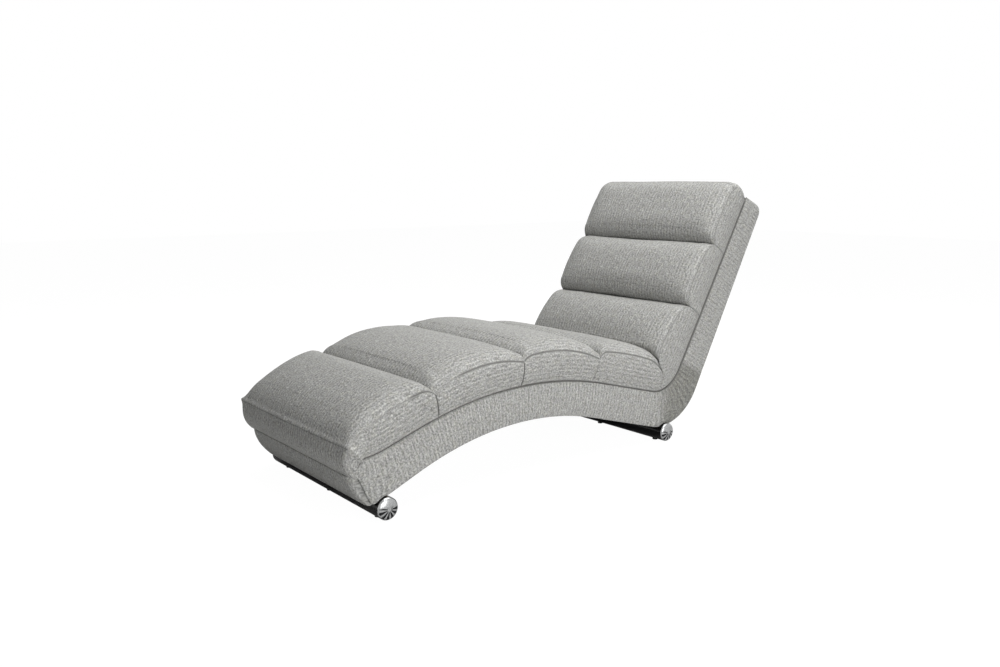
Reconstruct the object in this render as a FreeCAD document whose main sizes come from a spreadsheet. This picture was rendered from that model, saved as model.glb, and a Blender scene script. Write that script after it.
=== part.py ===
import FreeCAD, Part
import math
import os

import Sketcher

# Upholstered wave lounger on two round foot tubes.
# X runs across the width, +Y from the foot end to the head end, +Z up.
# The origin is on the floor, in the middle of the width and of the length.
# All sizes are millimetres.

SIZES = {
    # deck line of the frame, seen from the side, on which the pads lie
    "deck_nose_y": -802.0,
    "deck_nose_z": 168.0,
    "deck_dip_y": -727.0,
    "deck_dip_z": 177.0,
    "deck_dip_radius": 300.0,
    "deck_knee_y": -277.5,
    "deck_knee_z": 327.0,
    "deck_knee_radius": 1150.0,
    "deck_seat_y": 373.0,
    "deck_seat_z": 156.0,
    "deck_seat_radius": 120.0,
    "deck_head_y": 744.0,
    "deck_head_z": 786.0,
    # underside and back line of the frame
    "toe_y": -745.0,
    "toe_z": 46.0,
    "toe_radius": 12.0,
    "arch_y": -298.0,
    "arch_z": 229.0,
    "arch_radius": 960.0,
    "heel_y": 436.0,
    "heel_z": 20.0,
    "heel_radius": 190.0,
    "back_top_y": 833.0,
    "back_top_z": 746.0,
    "back_top_radius": 25.0,
    # frame and its covers
    "base_width": 580.0,
    "cover_thickness": 8.0,
    "panel_thickness": 18.0,
    "front_padding": 22.0,
    "front_bulge": 20.0,
    "front_round": 8.0,
    "underside_thickness": 1.5,
    "rail_thickness": 22.0,
    "rail_depth": 45.0,
    "rail_drop": 20.0,
    "nose_rail_set_back": 68.0,
    "head_rail_set_back": 45.0,
    "plank_width": 46.0,
    "plank_thickness": 30.0,
    # suspension under the pads
    "felt_thickness": 5.0,
    "strap_thickness": 2.0,
    "strap_width": 60.0,
    "strap_pitch": 92.0,
    "strap_slack": 0.5,
    # pads, measured along the deck and square to it
    "pad_overhang": 10.0,
    "foot_pad_run": 256.0,
    "calf_pad_run": 303.0,
    "thigh_pad_run": 291.0,
    "lumbar_pad_run": 268.0,
    "shoulder_pad_run": 227.0,
    "foot_pad_crown": 126.0,
    "calf_pad_crown": 124.0,
    "thigh_pad_crown": 124.0,
    "seat_pad_crown": 134.0,
    "lumbar_pad_crown": 157.0,
    "shoulder_pad_crown": 132.0,
    "head_pad_crown": 124.0,
    "seat_groove_height": 92.0,
    "back_groove_height": 82.0,
    "corner_edge_y": 298.0,
    "corner_edge_z": 314.0,
    "head_end_height": 72.0,
    "head_end_overhang": 16.0,
    "side_fall": 34.0,
    "back_side_fall": 22.0,
    "seam_groove_height": 68.0,
    "front_reach": 22.0,
    "front_fall": 6.0,
    "back_front_reach": 34.0,
    "rear_reach": 52.0,
    "rear_fall": 9.0,
    "foot_front_reach": 38.0,
    "foot_front_fall": 18.0,
    "foot_rear_reach": 36.0,
    "foot_rear_fall": 1.0,
    "calf_front_fall": 12.0,
    "seat_rear_reach": 134.0,
    "seat_rear_fall": 2.0,
    "lumbar_front_reach": 100.0,
    "lumbar_middle_fall": 4.0,
    "lumbar_rear_fall": 16.0,
    "cross_crown": 4.0,
    "edge_radius": 45.0,
    "front_draw": 8.0,
    "rear_draw": 26.0,
    "back_rear_draw": 15.0,
    "nose_edge_y": -820.0,
    "nose_bow": 3.0,
    "nose_edge_z": 216.0,
    "lip_bottom_z": 132.0,
    "nose_bulge": 17.0,
    "pad_root": 20.0,
    # foot tubes, end caps and glides
    "tube_diameter": 59.0,
    "tube_wall": 2.0,
    "tube_overhang": 5.0,
    "front_tube_inset": 37.0,
    "rear_tube_inset": 82.0,
    "cap_rim": 3.0,
    "cap_dome": 9.0,
    "cap_spigot": 15.0,
    "glide_diameter": 17.0,
    "glide_height": 5.0,
    "glide_spigot_diameter": 14.0,
    "glide_spigot_length": 10.0,
    "glide_inset": 40.0,
    # fasteners
    "bolt_diameter": 8.0,
    "bolt_head_diameter": 13.0,
    "bolt_head_height": 8.0,
    "bolt_tip": 4.0,
    "washer_diameter": 16.0,
    "washer_thickness": 1.6,
    "tee_nut_barrel_diameter": 11.0,
    "tee_nut_barrel_length": 14.0,
    "tee_nut_flange_diameter": 22.0,
    "tee_nut_flange_thickness": 2.0,
    "screw_diameter": 5.0,
    "screw_length": 60.0,
    "screw_head_diameter": 9.0,
    "screw_head_height": 4.0,
    "screw_spacing": 22.0,
    # clearances
    "pad_clearance": 0.3,
    "seat_clearance": 0.3,
    "fit_clearance": 0.05,
}

doc = FreeCAD.newDocument("wave_lounger")
sheet = doc.addObject("Spreadsheet::Sheet", "sizes")
for row, (alias, value) in enumerate(SIZES.items(), start=1):
    sheet.set(f"A{row}", alias)
    sheet.set(f"B{row}", str(value))
    sheet.setAlias(f"B{row}", alias)
doc.recompute()

parts = {}


def size(alias):
    """Value of one cell of the sheet."""
    return float(sheet.get(alias))


def keep(obj, label):
    """Name a finished sub-part and list it for export."""
    obj.Label = label
    parts[label] = obj
    return obj


# Widths that several pieces share, as expressions of the sheet
COVER_FACE = "sizes.base_width / 2"
PANEL_FACE = "(sizes.base_width / 2 - sizes.cover_thickness)"
PANEL_INSIDE = "(sizes.base_width / 2 - sizes.cover_thickness - sizes.panel_thickness)"
TUBE_RADIUS = "sizes.tube_diameter / 2"
TUBE_LENGTH = "(sizes.base_width + 2 * sizes.tube_overhang)"
TUBE_Z = "(sizes.glide_height + sizes.tube_diameter / 2)"
FRONT_TUBE_Y = "(sizes.toe_y + sizes.front_tube_inset)"
REAR_TUBE_Y = "(sizes.heel_y - sizes.rear_tube_inset)"


def number(expression):
    """Value of an expression of the sheet."""
    result = sheet.evalExpression(expression)
    return float(getattr(result, "Value", result))


panel_face = number(PANEL_FACE)
panel_inside = number(PANEL_INSIDE)
tube_z = number(TUBE_Z)
tube_radius = number(TUBE_RADIUS)
front_tube_y = number(FRONT_TUBE_Y)
rear_tube_y = number(REAR_TUBE_Y)


# Lines and arcs in the side plane

class Path:
    """A rounded polyline in the side plane: straight runs joined by tangent arcs."""

    def __init__(self, runs):
        self.runs = runs
        self.lengths = [self.run_length(run) for run in runs]
        self.length = sum(self.lengths)

    @staticmethod
    def through(corners):
        """Path through corner points (y, z, radius); the radius of an end point is not used."""
        runs = []
        start = corners[0][:2]
        for before, corner, after in zip(corners, corners[1:], corners[2:]):
            way_in = unit(before, corner)
            way_out = unit(corner, after)
            turn = turn_between(way_in, way_out)
            tangent = corner[2] * math.tan(abs(turn) / 2)
            arc_start = (corner[0] - way_in[0] * tangent, corner[1] - way_in[1] * tangent)
            arc_end = (corner[0] + way_out[0] * tangent, corner[1] + way_out[1] * tangent)
            side = math.copysign(corner[2], turn)
            centre = (arc_start[0] - way_in[1] * side, arc_start[1] + way_in[0] * side)
            angle = math.atan2(arc_start[1] - centre[1], arc_start[0] - centre[0])
            runs.append(("line", start, arc_start))
            runs.append(("arc", centre, corner[2], angle, turn))
            start = arc_end
        runs.append(("line", start, corners[-1][:2]))
        return Path(runs)

    @staticmethod
    def run_length(run):
        if run[0] == "line":
            return math.dist(run[1], run[2])
        return run[2] * abs(run[4])

    def at(self, s):
        """Point and unit tangent at length s; past its ends the path runs on straight."""
        position = 0.0
        for index, run in enumerate(self.runs):
            last = index == len(self.runs) - 1
            if s <= position + self.lengths[index] or last:
                return self.on_run(run, s - position)
            position += self.lengths[index]

    @staticmethod
    def on_run(run, along):
        if run[0] == "line":
            way = unit(run[1], run[2])
            return (run[1][0] + way[0] * along, run[1][1] + way[1] * along), way
        sense = math.copysign(1.0, run[4])
        angle = run[3] + sense * along / run[2]
        point = (run[1][0] + run[2] * math.cos(angle), run[1][1] + run[2] * math.sin(angle))
        return point, (-sense * math.sin(angle), sense * math.cos(angle))

    def off(self, s, height):
        """Point at length s, moved to the left of the path by height."""
        point, way = self.at(s)
        return (point[0] - way[1] * height, point[1] + way[0] * height)

    def end_of_run(self, index):
        return sum(self.lengths[:index + 1])

    def length_at_y(self, y, low, high):
        """Length between low and high at which the path passes the given y, going up in y."""
        for _ in range(60):
            middle = (low + high) / 2
            if self.at(middle)[0][0] < y:
                low = middle
            else:
                high = middle
        return (low + high) / 2

    def trimmed(self, low, high):
        """The stretch of the path between two lengths."""
        runs = []
        position = 0.0
        for run, length in zip(self.runs, self.lengths):
            begin = max(low - position, 0.0)
            end = min(high - position, length)
            position += length
            if end - begin < 1e-6:
                continue
            if run[0] == "line":
                runs.append(("line", self.on_run(run, begin)[0], self.on_run(run, end)[0]))
            else:
                sense = math.copysign(1.0, run[4])
                first = run[3] + sense * begin / run[2]
                runs.append(("arc", run[1], run[2], first, sense * (end - begin) / run[2]))
        return Path(runs)

    def offset(self, distance):
        """The path moved to its left by a distance."""
        runs = []
        for run in self.runs:
            if run[0] == "line":
                way = unit(run[1], run[2])
                shift = (-way[1] * distance, way[0] * distance)
                runs.append(("line", moved(run[1], shift), moved(run[2], shift)))
            else:
                radius = run[2] - math.copysign(distance, run[4] * distance)
                runs.append(("arc", run[1], radius, run[3], run[4]))
        return Path(runs)

    def edges(self, x):
        """Edges of the path in the plane at x."""
        edges = []
        for run, length in zip(self.runs, self.lengths):
            points = [at_x(x, self.on_run(run, length * share)[0]) for share in (0.0, 0.5, 1.0)]
            if run[0] == "line":
                edges.append(Part.LineSegment(points[0], points[2]).toShape())
            else:
                edges.append(Part.Arc(*points).toShape())
        return edges


def unit(start, end):
    length = math.dist(start[:2], end[:2])
    return ((end[0] - start[0]) / length, (end[1] - start[1]) / length)


def turn_between(first, second):
    cross = first[0] * second[1] - first[1] * second[0]
    dot = first[0] * second[0] + first[1] * second[1]
    return math.atan2(cross, dot)


def moved(point, shift):
    return (point[0] + shift[0], point[1] + shift[1])


def at_x(x, point):
    """A side plane point (y, z) as a point in space."""
    return FreeCAD.Vector(x, point[0], point[1])


def line(x, start, end):
    return Part.LineSegment(at_x(x, start), at_x(x, end)).toShape()


def arc(x, start, through, end):
    return Part.Arc(at_x(x, start), at_x(x, through), at_x(x, end)).toShape()


def prism(edges, width):
    """Solid that carries a closed outline along X by a width."""
    face = Part.Face(Part.Wire(Part.__sortEdges__(edges)))
    return face.extrude(FreeCAD.Vector(width, 0, 0))


def strip(path, low, high, near, far, x_start, x_end):
    """Layer along a path between two lengths, from offset near to offset far."""
    stretch = path.trimmed(low, high)
    first = stretch.offset(near)
    second = stretch.offset(far)
    edges = first.edges(x_start) + second.edges(x_start)
    edges.append(line(x_start, first.at(0.0)[0], second.at(0.0)[0]))
    edges.append(line(x_start, first.at(first.length)[0], second.at(second.length)[0]))
    return prism(edges, x_end - x_start)


def solid_feature(name, shape):
    """A document object that holds a shape worked out above."""
    feature = doc.addObject("Part::Feature", name)
    feature.Shape = shape
    feature.Placement = FreeCAD.Placement()
    return feature


def corner(name):
    """A named corner of the profile, with its radius where it has one."""
    radius = size(f"{name}_radius") if f"{name}_radius" in SIZES else 0.0
    return (size(f"{name}_y"), size(f"{name}_z"), radius)


DECK_CORNERS = ["deck_nose", "deck_dip", "deck_knee", "deck_seat", "deck_head"]
UNDER_CORNERS = ["deck_nose", "toe", "arch", "heel", "back_top", "deck_head"]

deck = Path.through([corner(name) for name in DECK_CORNERS])
under = Path.through([corner(name) for name in UNDER_CORNERS])

dip_end = deck.end_of_run(1)
seat_arc_start = deck.end_of_run(4)
seat_arc_end = deck.end_of_run(5)
seat_middle = (seat_arc_start + seat_arc_end) / 2
toe_end = under.end_of_run(1)
heel_end = under.end_of_run(5)


# Sketches

def origin_plane(body, role):
    return next(feature for feature in body.Origin.OriginFeatures if feature.Role == role)


def new_sketch(body, role, name):
    sketch = body.newObject("Sketcher::SketchObject", name)
    sketch.AttachmentSupport = [(origin_plane(body, role), "")]
    sketch.MapMode = "FlatFace"
    return sketch


def bind(sketch, constraint, expression):
    """Add a dimension to a sketch and tie it to the sheet."""
    index = sketch.addConstraint(constraint)
    sketch.setExpression(f"Constraints[{index}]", expression)


def pin_point(sketch, geometry, vertex, across, up):
    """Hold a sketch point at two expressions measured from the sketch origin."""
    for kind, axis, expression in (("DistanceX", -2, across), ("DistanceY", -1, up)):
        value = number(expression)
        if abs(value) < 1e-9:
            sketch.addConstraint(Sketcher.Constraint("PointOnObject", geometry, vertex, axis))
        else:
            bind(sketch, Sketcher.Constraint(kind, -1, 1, geometry, vertex, value), expression)


def flat(across, up):
    return FreeCAD.Vector(across, up, 0)


def polygon_sketch(body, role, name, points):
    """Closed sketch of straight lines through points given as expressions."""
    sketch = new_sketch(body, role, name)
    corners = [flat(number(across), number(up)) for across, up in points]
    count = len(corners)
    for index in range(count):
        sketch.addGeometry(Part.LineSegment(corners[index], corners[(index + 1) % count]))
    for index in range(count):
        sketch.addConstraint(Sketcher.Constraint("Coincident", index, 2, (index + 1) % count, 1))
    for index, (across, up) in enumerate(points):
        pin_point(sketch, index, 1, across, up)
    return sketch


def rounded_sketch(body, role, name, names):
    """Closed sketch through named corners; corners that have a radius get a tangent arc."""
    sketch = new_sketch(body, role, name)
    corners = [corner(item) for item in names]
    count = len(corners)
    entries = []
    exits = []
    turns = []
    for index, here in enumerate(corners):
        way_in = unit(corners[index - 1], here)
        way_out = unit(here, corners[(index + 1) % count])
        turn = turn_between(way_in, way_out)
        tangent = here[2] * math.tan(abs(turn) / 2)
        entries.append(flat(here[0] - way_in[0] * tangent, here[1] - way_in[1] * tangent))
        exits.append(flat(here[0] + way_out[0] * tangent, here[1] + way_out[1] * tangent))
        turns.append(turn)
    for index in range(count):
        sketch.addGeometry(Part.LineSegment(exits[index], entries[(index + 1) % count]))
    for index, item in enumerate(names):
        across = f"sizes.{item}_y"
        up = f"sizes.{item}_z"
        before = (index - 1) % count
        if corners[index][2] == 0.0:
            sketch.addConstraint(Sketcher.Constraint("Coincident", before, 2, index, 1))
            pin_point(sketch, index, 1, across, up)
            continue
        way_in = unit(corners[index - 1], corners[index])
        side = math.copysign(corners[index][2], turns[index])
        centre = entries[index] + flat(-way_in[1] * side, way_in[0] * side)
        circle = Part.Circle(centre, FreeCAD.Vector(0, 0, 1), corners[index][2])
        first, last = entries[index], exits[index]
        if turns[index] < 0:
            first, last = last, first
        arc_of = Part.ArcOfCircle(circle, circle.parameter(first), circle.parameter(last))
        rounding = sketch.addGeometry(arc_of)
        tip = sketch.addGeometry(Part.Point(flat(*corners[index][:2])), True)
        enter, leave = (1, 2) if turns[index] > 0 else (2, 1)
        sketch.addConstraint(Sketcher.Constraint("Tangent", before, 2, rounding, enter))
        sketch.addConstraint(Sketcher.Constraint("Tangent", rounding, leave, index, 1))
        sketch.addConstraint(Sketcher.Constraint("PointOnObject", tip, 1, before))
        sketch.addConstraint(Sketcher.Constraint("PointOnObject", tip, 1, index))
        radius = Sketcher.Constraint("Radius", rounding, corners[index][2])
        bind(sketch, radius, f"sizes.{item}_radius")
        pin_point(sketch, tip, 1, across, up)
    return sketch


def circle_sketch(body, role, name, circles):
    """Sketch of circles given as (across, up, radius) expressions."""
    sketch = new_sketch(body, role, name)
    for across, up, radius in circles:
        middle = flat(number(across), number(up))
        shape = Part.Circle(middle, FreeCAD.Vector(0, 0, 1), number(radius))
        index = sketch.addGeometry(shape)
        bind(sketch, Sketcher.Constraint("Radius", index, number(radius)), radius)
        pin_point(sketch, index, 3, across, up)
    return sketch


def pad_up(body, sketch, name, length):
    """Pad a sketch along its normal by an expression."""
    pad = body.newObject("PartDesign::Pad", name)
    pad.Profile = sketch
    pad.setExpression("Length", length)
    sketch.Visibility = False
    return pad


def cut_through(body, sketch, name):
    """Pocket a sketch right through its body, both ways."""
    pocket = body.newObject("PartDesign::Pocket", name)
    pocket.Profile = sketch
    pocket.Type = 1
    pocket.Midplane = True
    sketch.Visibility = False
    return pocket


def turned_body(name, role, axis, points):
    """Body of revolution from a half profile about an axis of its sketch."""
    body = doc.addObject("PartDesign::Body", name)
    sketch = polygon_sketch(body, role, f"{name}_profile", points)
    turned = body.newObject("PartDesign::Revolution", f"{name}_turned")
    turned.Profile = sketch
    turned.ReferenceAxis = (sketch, [axis])
    turned.Angle = 360.0
    sketch.Visibility = False
    return body


def cut(name, base, tool):
    result = doc.addObject("Part::Cut", name)
    result.Base = base
    result.Tool = tool
    return result


# Layers that wrap the frame: deck zone, felt, back cover, underside cloth

deck_recess = size("felt_thickness") + size("strap_slack") + size("strap_thickness")
cover = size("cover_thickness")
padding = size("front_padding")
tube_room = tube_radius + cover
felt_start = padding + cover
felt_end = deck.length - cover - size("strap_slack")

back_start = under.length_at_y(rear_tube_y + tube_room, toe_end, heel_end)
underside_start = under.length_at_y(front_tube_y + tube_room, toe_end, heel_end)
underside_end = under.length_at_y(rear_tube_y - tube_room, toe_end, heel_end)

felt = solid_feature("deck_felt", strip(
    deck, felt_start, felt_end, 0.0, -size("felt_thickness"), -panel_face, panel_face))
keep(felt, "deck_felt")

back_layer = solid_feature("back_layer", strip(
    under, back_start, under.length, 0.0, cover, -panel_face, panel_face))

underside = solid_feature("underside_cloth", strip(
    under, underside_start, underside_end, 0.0, size("underside_thickness"),
    -panel_face, panel_face))
keep(underside, "underside_cloth")

deck_zone = solid_feature("deck_zone", strip(
    deck, 0.0, deck.length, 0.0, -deck_recess, -panel_face, panel_face))


def front_line(z):
    """Point of the frame's front face at a height, on the straight from nose to toe."""
    nose = corner("deck_nose")
    toe = corner("toe")
    share = (nose[1] - z) / (nose[1] - toe[1])
    return (nose[0] + share * (toe[0] - nose[0]), z)


front_way = unit(corner("deck_nose"), corner("toe"))
front_inward = (-front_way[1] * padding, front_way[0] * padding)


def nose_zone_edges(x):
    """Outline of the space in front of the frame that the nose padding fills."""
    above = moved(corner("deck_nose"), (-front_way[0] * padding, -front_way[1] * padding))
    below = moved(corner("toe"), (front_way[0] * padding, front_way[1] * padding))
    outside = (-front_inward[0], -front_inward[1])
    points = [moved(above, outside), moved(below, outside)]
    points += [moved(below, front_inward), moved(above, front_inward)]
    return [line(x, points[index - 1], points[index]) for index in range(4)]


nose_zone = solid_feature("nose_zone", prism(nose_zone_edges(-panel_face), 2 * panel_face))

wraps = doc.addObject("Part::MultiFuse", "wraps")
wraps.Shapes = [deck_zone, nose_zone, back_layer, underside]


# Soft pieces are drawn at stations across their width and rounded towards their sides

EDGE_SHARES = (0.0, 0.07, 0.22, 0.53, 1.0)


def roundness(edge_distance):
    """Quarter ellipse from 0 at the side to 1 at the edge radius."""
    share = min(edge_distance / size("edge_radius"), 1.0)
    return math.sqrt(1.0 - (1.0 - share) ** 2)


def stations(half):
    """Places across the width at which a soft piece's section is drawn."""
    right = [half - size("edge_radius") * share for share in EDGE_SHARES]
    return [-x for x in right] + [0.0] + right[::-1]


# Nose cover: padded front of the frame, between the side covers, crowned across its width

def nose_cover_section(x, bulge):
    top = size("lip_bottom_z") - size("pad_clearance")
    outer_top = moved(front_line(top), (-bulge, 0.0))
    outer_low = moved(front_line(size("toe_z")), (-bulge / 2, 0.0))
    middle = moved(front_line((top + size("toe_z")) / 2), (-bulge - size("front_round"), 0.0))
    inner_top = moved(front_line(top), (front_inward[0], 0.0))
    inner_low = moved(front_line(size("toe_z")), (front_inward[0], front_inward[1] / 2))
    return Part.Wire([
        arc(x, outer_top, middle, outer_low),
        line(x, outer_low, inner_low),
        line(x, inner_low, inner_top),
        line(x, inner_top, outer_top),
    ])


nose_half = panel_face - size("pad_clearance")
nose_core = solid_feature("nose_core", Part.makeLoft([
    nose_cover_section(x, size("front_bulge") * roundness(nose_half - abs(x)))
    for x in stations(nose_half)], True, True))


# Room for the foot tubes in everything that they press into

def tube_room_cylinder(name, centre_y):
    room = doc.addObject("Part::Cylinder", name)
    room.setExpression("Radius", f"{TUBE_RADIUS} + sizes.seat_clearance")
    room.setExpression("Height", f"{TUBE_LENGTH} + 2 * sizes.tube_overhang")
    start = number(TUBE_LENGTH) / 2 + size("tube_overhang")
    turned = FreeCAD.Rotation(FreeCAD.Vector(0, 1, 0), 90)
    room.Placement = FreeCAD.Placement(FreeCAD.Vector(-start, centre_y, tube_z), turned)
    return room


front_room = tube_room_cylinder("front_tube_room", front_tube_y)
keep(cut("nose_cover", nose_core, front_room), "nose_cover")
rear_room = tube_room_cylinder("rear_tube_room", rear_tube_y)
keep(cut("back_cover", back_layer, rear_room), "back_cover")


# Cross rails and foot planks, with their screw places in the side plane

RAIL_LENGTH = f"2 * {PANEL_INSIDE}"

rail_tops = {
    "nose_rail": size("nose_rail_set_back"),
    "calf_rail": size("foot_pad_run"),
    "thigh_rail": size("foot_pad_run") + size("calf_pad_run"),
    "seat_rail": size("foot_pad_run") + size("calf_pad_run") + size("thigh_pad_run"),
    "hip_rail": seat_arc_end,
    "lumbar_rail": seat_middle + size("lumbar_pad_run"),
    "shoulder_rail": seat_middle + size("lumbar_pad_run") + size("shoulder_pad_run"),
    "head_rail": deck.length - size("head_rail_set_back"),
}

screw_places = []
rail_boxes = {}


def batten(name, width, height, corner_point, way):
    """Wooden batten across the frame: corner_point is its low front edge, way its width."""
    box = doc.addObject("Part::Box", f"{name}_box")
    box.setExpression("Length", RAIL_LENGTH)
    box.setExpression("Width", width)
    box.setExpression("Height", height)
    angle = math.degrees(math.atan2(way[1], way[0]))
    turned = FreeCAD.Rotation(FreeCAD.Vector(1, 0, 0), angle)
    box.Placement = FreeCAD.Placement(at_x(-panel_inside, corner_point), turned)
    rail_boxes[name] = box
    return box


def add_screws(centre, direction):
    """Two screws at each end of a batten, on a line through its centre."""
    for share in (-0.5, 0.5):
        reach = size("screw_spacing") * share
        screw_places.append(moved(centre, (direction[0] * reach, direction[1] * reach)))


for rail_name, s in rail_tops.items():
    way = deck.at(s)[1]
    top = -deck_recess - size("rail_drop")
    bottom = top - size("rail_depth")
    half = size("rail_thickness") / 2
    low_front = moved(deck.off(s, bottom), (-way[0] * half, -way[1] * half))
    batten(rail_name, "sizes.rail_thickness", "sizes.rail_depth", low_front, way)
    add_screws(deck.off(s, (top + bottom) / 2), (-way[1], way[0]))

plank_bottom = tube_z + tube_radius + size("seat_clearance")
plank_middle = plank_bottom + size("plank_thickness") / 2
for plank_name, centre_y in (("front_foot_plank", front_tube_y), ("rear_foot_plank", rear_tube_y)):
    low_front = (centre_y - size("plank_width") / 2, plank_bottom)
    batten(plank_name, "sizes.plank_width", "sizes.plank_thickness", low_front, (1.0, 0.0))
    add_screws((centre_y, plank_middle), (1.0, 0.0))


# Screws, their holes, bolts, washers and tee nuts

def rod(radius, start, end):
    """Round bar between two points."""
    way = end - start
    return Part.makeCylinder(radius, way.Length, start, way)


def screw_shape(place, side, room):
    """Wood screw driven in from the outer face of a side panel."""
    outer = at_x(side * panel_face, place)
    head_end = at_x(side * (panel_face - size("screw_head_height") - room), place)
    tip = at_x(side * (panel_face - size("screw_length") - room), place)
    head = rod(size("screw_head_diameter") / 2 + room, outer, head_end)
    return head.fuse(rod(size("screw_diameter") / 2 + room, outer, tip)).removeSplitter()


def all_screws(room):
    return Part.makeCompound([
        screw_shape(place, side, room) for place in screw_places for side in (-1, 1)])


keep(solid_feature("frame_screws", all_screws(0.0)), "frame_screws")
screw_holes = solid_feature("screw_holes", all_screws(size("fit_clearance")))

glide_reach = size("base_width") / 2 - size("glide_inset")
bolt_places = [
    (side * glide_reach, centre_y)
    for centre_y in (front_tube_y, rear_tube_y) for side in (-1, 1)]
glide_columns = {"left": -1, "middle": 0, "right": 1}

bore_top = tube_z + tube_radius - size("tube_wall")
washer_sink = bore_top - tube_z - math.sqrt(
    (bore_top - tube_z) ** 2 - (size("washer_diameter") / 2) ** 2)
washer_top = bore_top - washer_sink - size("fit_clearance")
washer_bottom = washer_top - size("washer_thickness")
plank_top = plank_bottom + size("plank_thickness")
nut_top = plank_top + size("tee_nut_flange_thickness")


def bolt_shape(place):
    x, y = place
    head_low = FreeCAD.Vector(x, y, washer_bottom - size("bolt_head_height"))
    head_top = FreeCAD.Vector(x, y, washer_bottom)
    tip = FreeCAD.Vector(x, y, nut_top + size("bolt_tip"))
    head = rod(size("bolt_head_diameter") / 2, head_low, head_top)
    return head.fuse(rod(size("bolt_diameter") / 2, head_top, tip)).removeSplitter()


def washer_shape(place):
    low = FreeCAD.Vector(place[0], place[1], washer_bottom)
    top = FreeCAD.Vector(place[0], place[1], washer_top)
    disc = rod(size("washer_diameter") / 2, low, top)
    return disc.cut(rod(size("bolt_diameter") / 2 + size("fit_clearance"), low, top))


def tee_nut_outside(place, room):
    x, y = place
    low = FreeCAD.Vector(x, y, plank_top - size("tee_nut_barrel_length") - room)
    seat = FreeCAD.Vector(x, y, plank_top)
    top = FreeCAD.Vector(x, y, nut_top)
    barrel = rod(size("tee_nut_barrel_diameter") / 2 + room, low, top)
    return barrel.fuse(rod(size("tee_nut_flange_diameter") / 2 + room, seat, top))


def bolt_bore(place, start_z, end_z):
    start = FreeCAD.Vector(place[0], place[1], start_z)
    end = FreeCAD.Vector(place[0], place[1], end_z)
    return rod(size("bolt_diameter") / 2 + size("fit_clearance"), start, end)


def tee_nut_shape(place):
    shape = tee_nut_outside(place, 0.0).cut(bolt_bore(place, plank_bottom, nut_top))
    return shape.removeSplitter()


keep(solid_feature("tube_bolts", Part.makeCompound([bolt_shape(p) for p in bolt_places])),
     "tube_bolts")
keep(solid_feature("tube_washers", Part.makeCompound([washer_shape(p) for p in bolt_places])),
     "tube_washers")
keep(solid_feature("tee_nuts", Part.makeCompound([tee_nut_shape(p) for p in bolt_places])),
     "tee_nuts")

bolt_holes = solid_feature("bolt_holes", Part.makeCompound([
    tee_nut_outside(p, size("fit_clearance")).fuse(bolt_bore(p, tube_z, nut_top))
    for p in bolt_places]))

for rail_name, box in rail_boxes.items():
    drilled = cut(f"{rail_name}_drilled", box, screw_holes)
    if rail_name.endswith("plank"):
        drilled = cut(f"{rail_name}_bored", drilled, bolt_holes)
    keep(drilled, rail_name)


# Side panels and side covers: the whole profile, notched for the foot tubes

PROFILE = ["deck_nose", "toe", "arch", "heel", "back_top", "deck_head",
           "deck_seat", "deck_knee", "deck_dip"]
NOTCHES = [(y, TUBE_Z, f"{TUBE_RADIUS} + sizes.seat_clearance")
           for y in (FRONT_TUBE_Y, REAR_TUBE_Y)]


def profile_body(name, thickness, inner_face):
    body = doc.addObject("PartDesign::Body", name)
    outline = rounded_sketch(body, "YZ_Plane", f"{name}_outline", PROFILE)
    pad_up(body, outline, f"{name}_slab", thickness)
    notches = circle_sketch(body, "YZ_Plane", f"{name}_notches", NOTCHES)
    doc.recompute()
    cut_through(body, notches, f"{name}_saddles")
    body.setExpression("Placement.Base.x", inner_face)
    return body


for hand in ("left", "right"):
    panel_x = PANEL_INSIDE if hand == "right" else f"-{PANEL_FACE}"
    cover_x = PANEL_FACE if hand == "right" else f"-{COVER_FACE}"
    board = profile_body(f"panel_board_{hand}", "sizes.panel_thickness", panel_x)
    shaped = cut(f"panel_shaped_{hand}", board, wraps)
    keep(cut(f"panel_{hand}", shaped, screw_holes), f"side_panel_{hand}")
    keep(profile_body(f"cover_{hand}", "sizes.cover_thickness", cover_x), f"side_cover_{hand}")


# Webbing straps across the panels, under the felt

def strap_row(start, end):
    """Straps evenly spaced between two lengths of the deck."""
    width = size("strap_width")
    count = max(1, int((end - start - width) // size("strap_pitch")) + 1)
    spare = (end - start - width - (count - 1) * size("strap_pitch")) / 2
    solids = []
    for index in range(count):
        s = start + spare + width / 2 + index * size("strap_pitch")
        way = deck.at(s)[1]
        low = moved(deck.off(s, -deck_recess), (-way[0] * width / 2, -way[1] * width / 2))
        strap = Part.makeBox(2 * panel_face, width, size("strap_thickness"))
        angle = math.degrees(math.atan2(way[1], way[0]))
        turned = FreeCAD.Rotation(FreeCAD.Vector(1, 0, 0), angle)
        strap.Placement = FreeCAD.Placement(at_x(-panel_face, low), turned)
        solids.append(strap)
    return Part.makeCompound(solids)


keep(solid_feature("seat_webbing", strap_row(dip_end, seat_arc_start)), "seat_webbing")
keep(solid_feature("back_webbing", strap_row(seat_arc_end, felt_end)), "back_webbing")


# Pads: crowned across the groove-to-groove run, drawn in at the sides, cut to sit on the deck

pad_half = size("base_width") / 2 + size("pad_overhang")
LIP_BOW = 0.13


def blend(side_value, middle_value, share):
    return side_value + (middle_value - side_value) * share


class EndPlane:
    """Plane across the deck at which a pad ends: a foot point, its way on and its way up."""

    def __init__(self, foot, up):
        self.foot = foot
        self.up = up
        self.way = (up[1], -up[0])

    def at(self, shift, height):
        """Point of the plane at a height, shifted along the deck."""
        y = self.foot[0] + self.way[0] * shift + self.up[0] * height
        z = self.foot[1] + self.way[1] * shift + self.up[1] * height
        return (y, z)


def square_end(s):
    """End plane square to the deck at a length."""
    point, way = deck.at(s)
    return EndPlane(point, (-way[1], way[0]))


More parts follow.
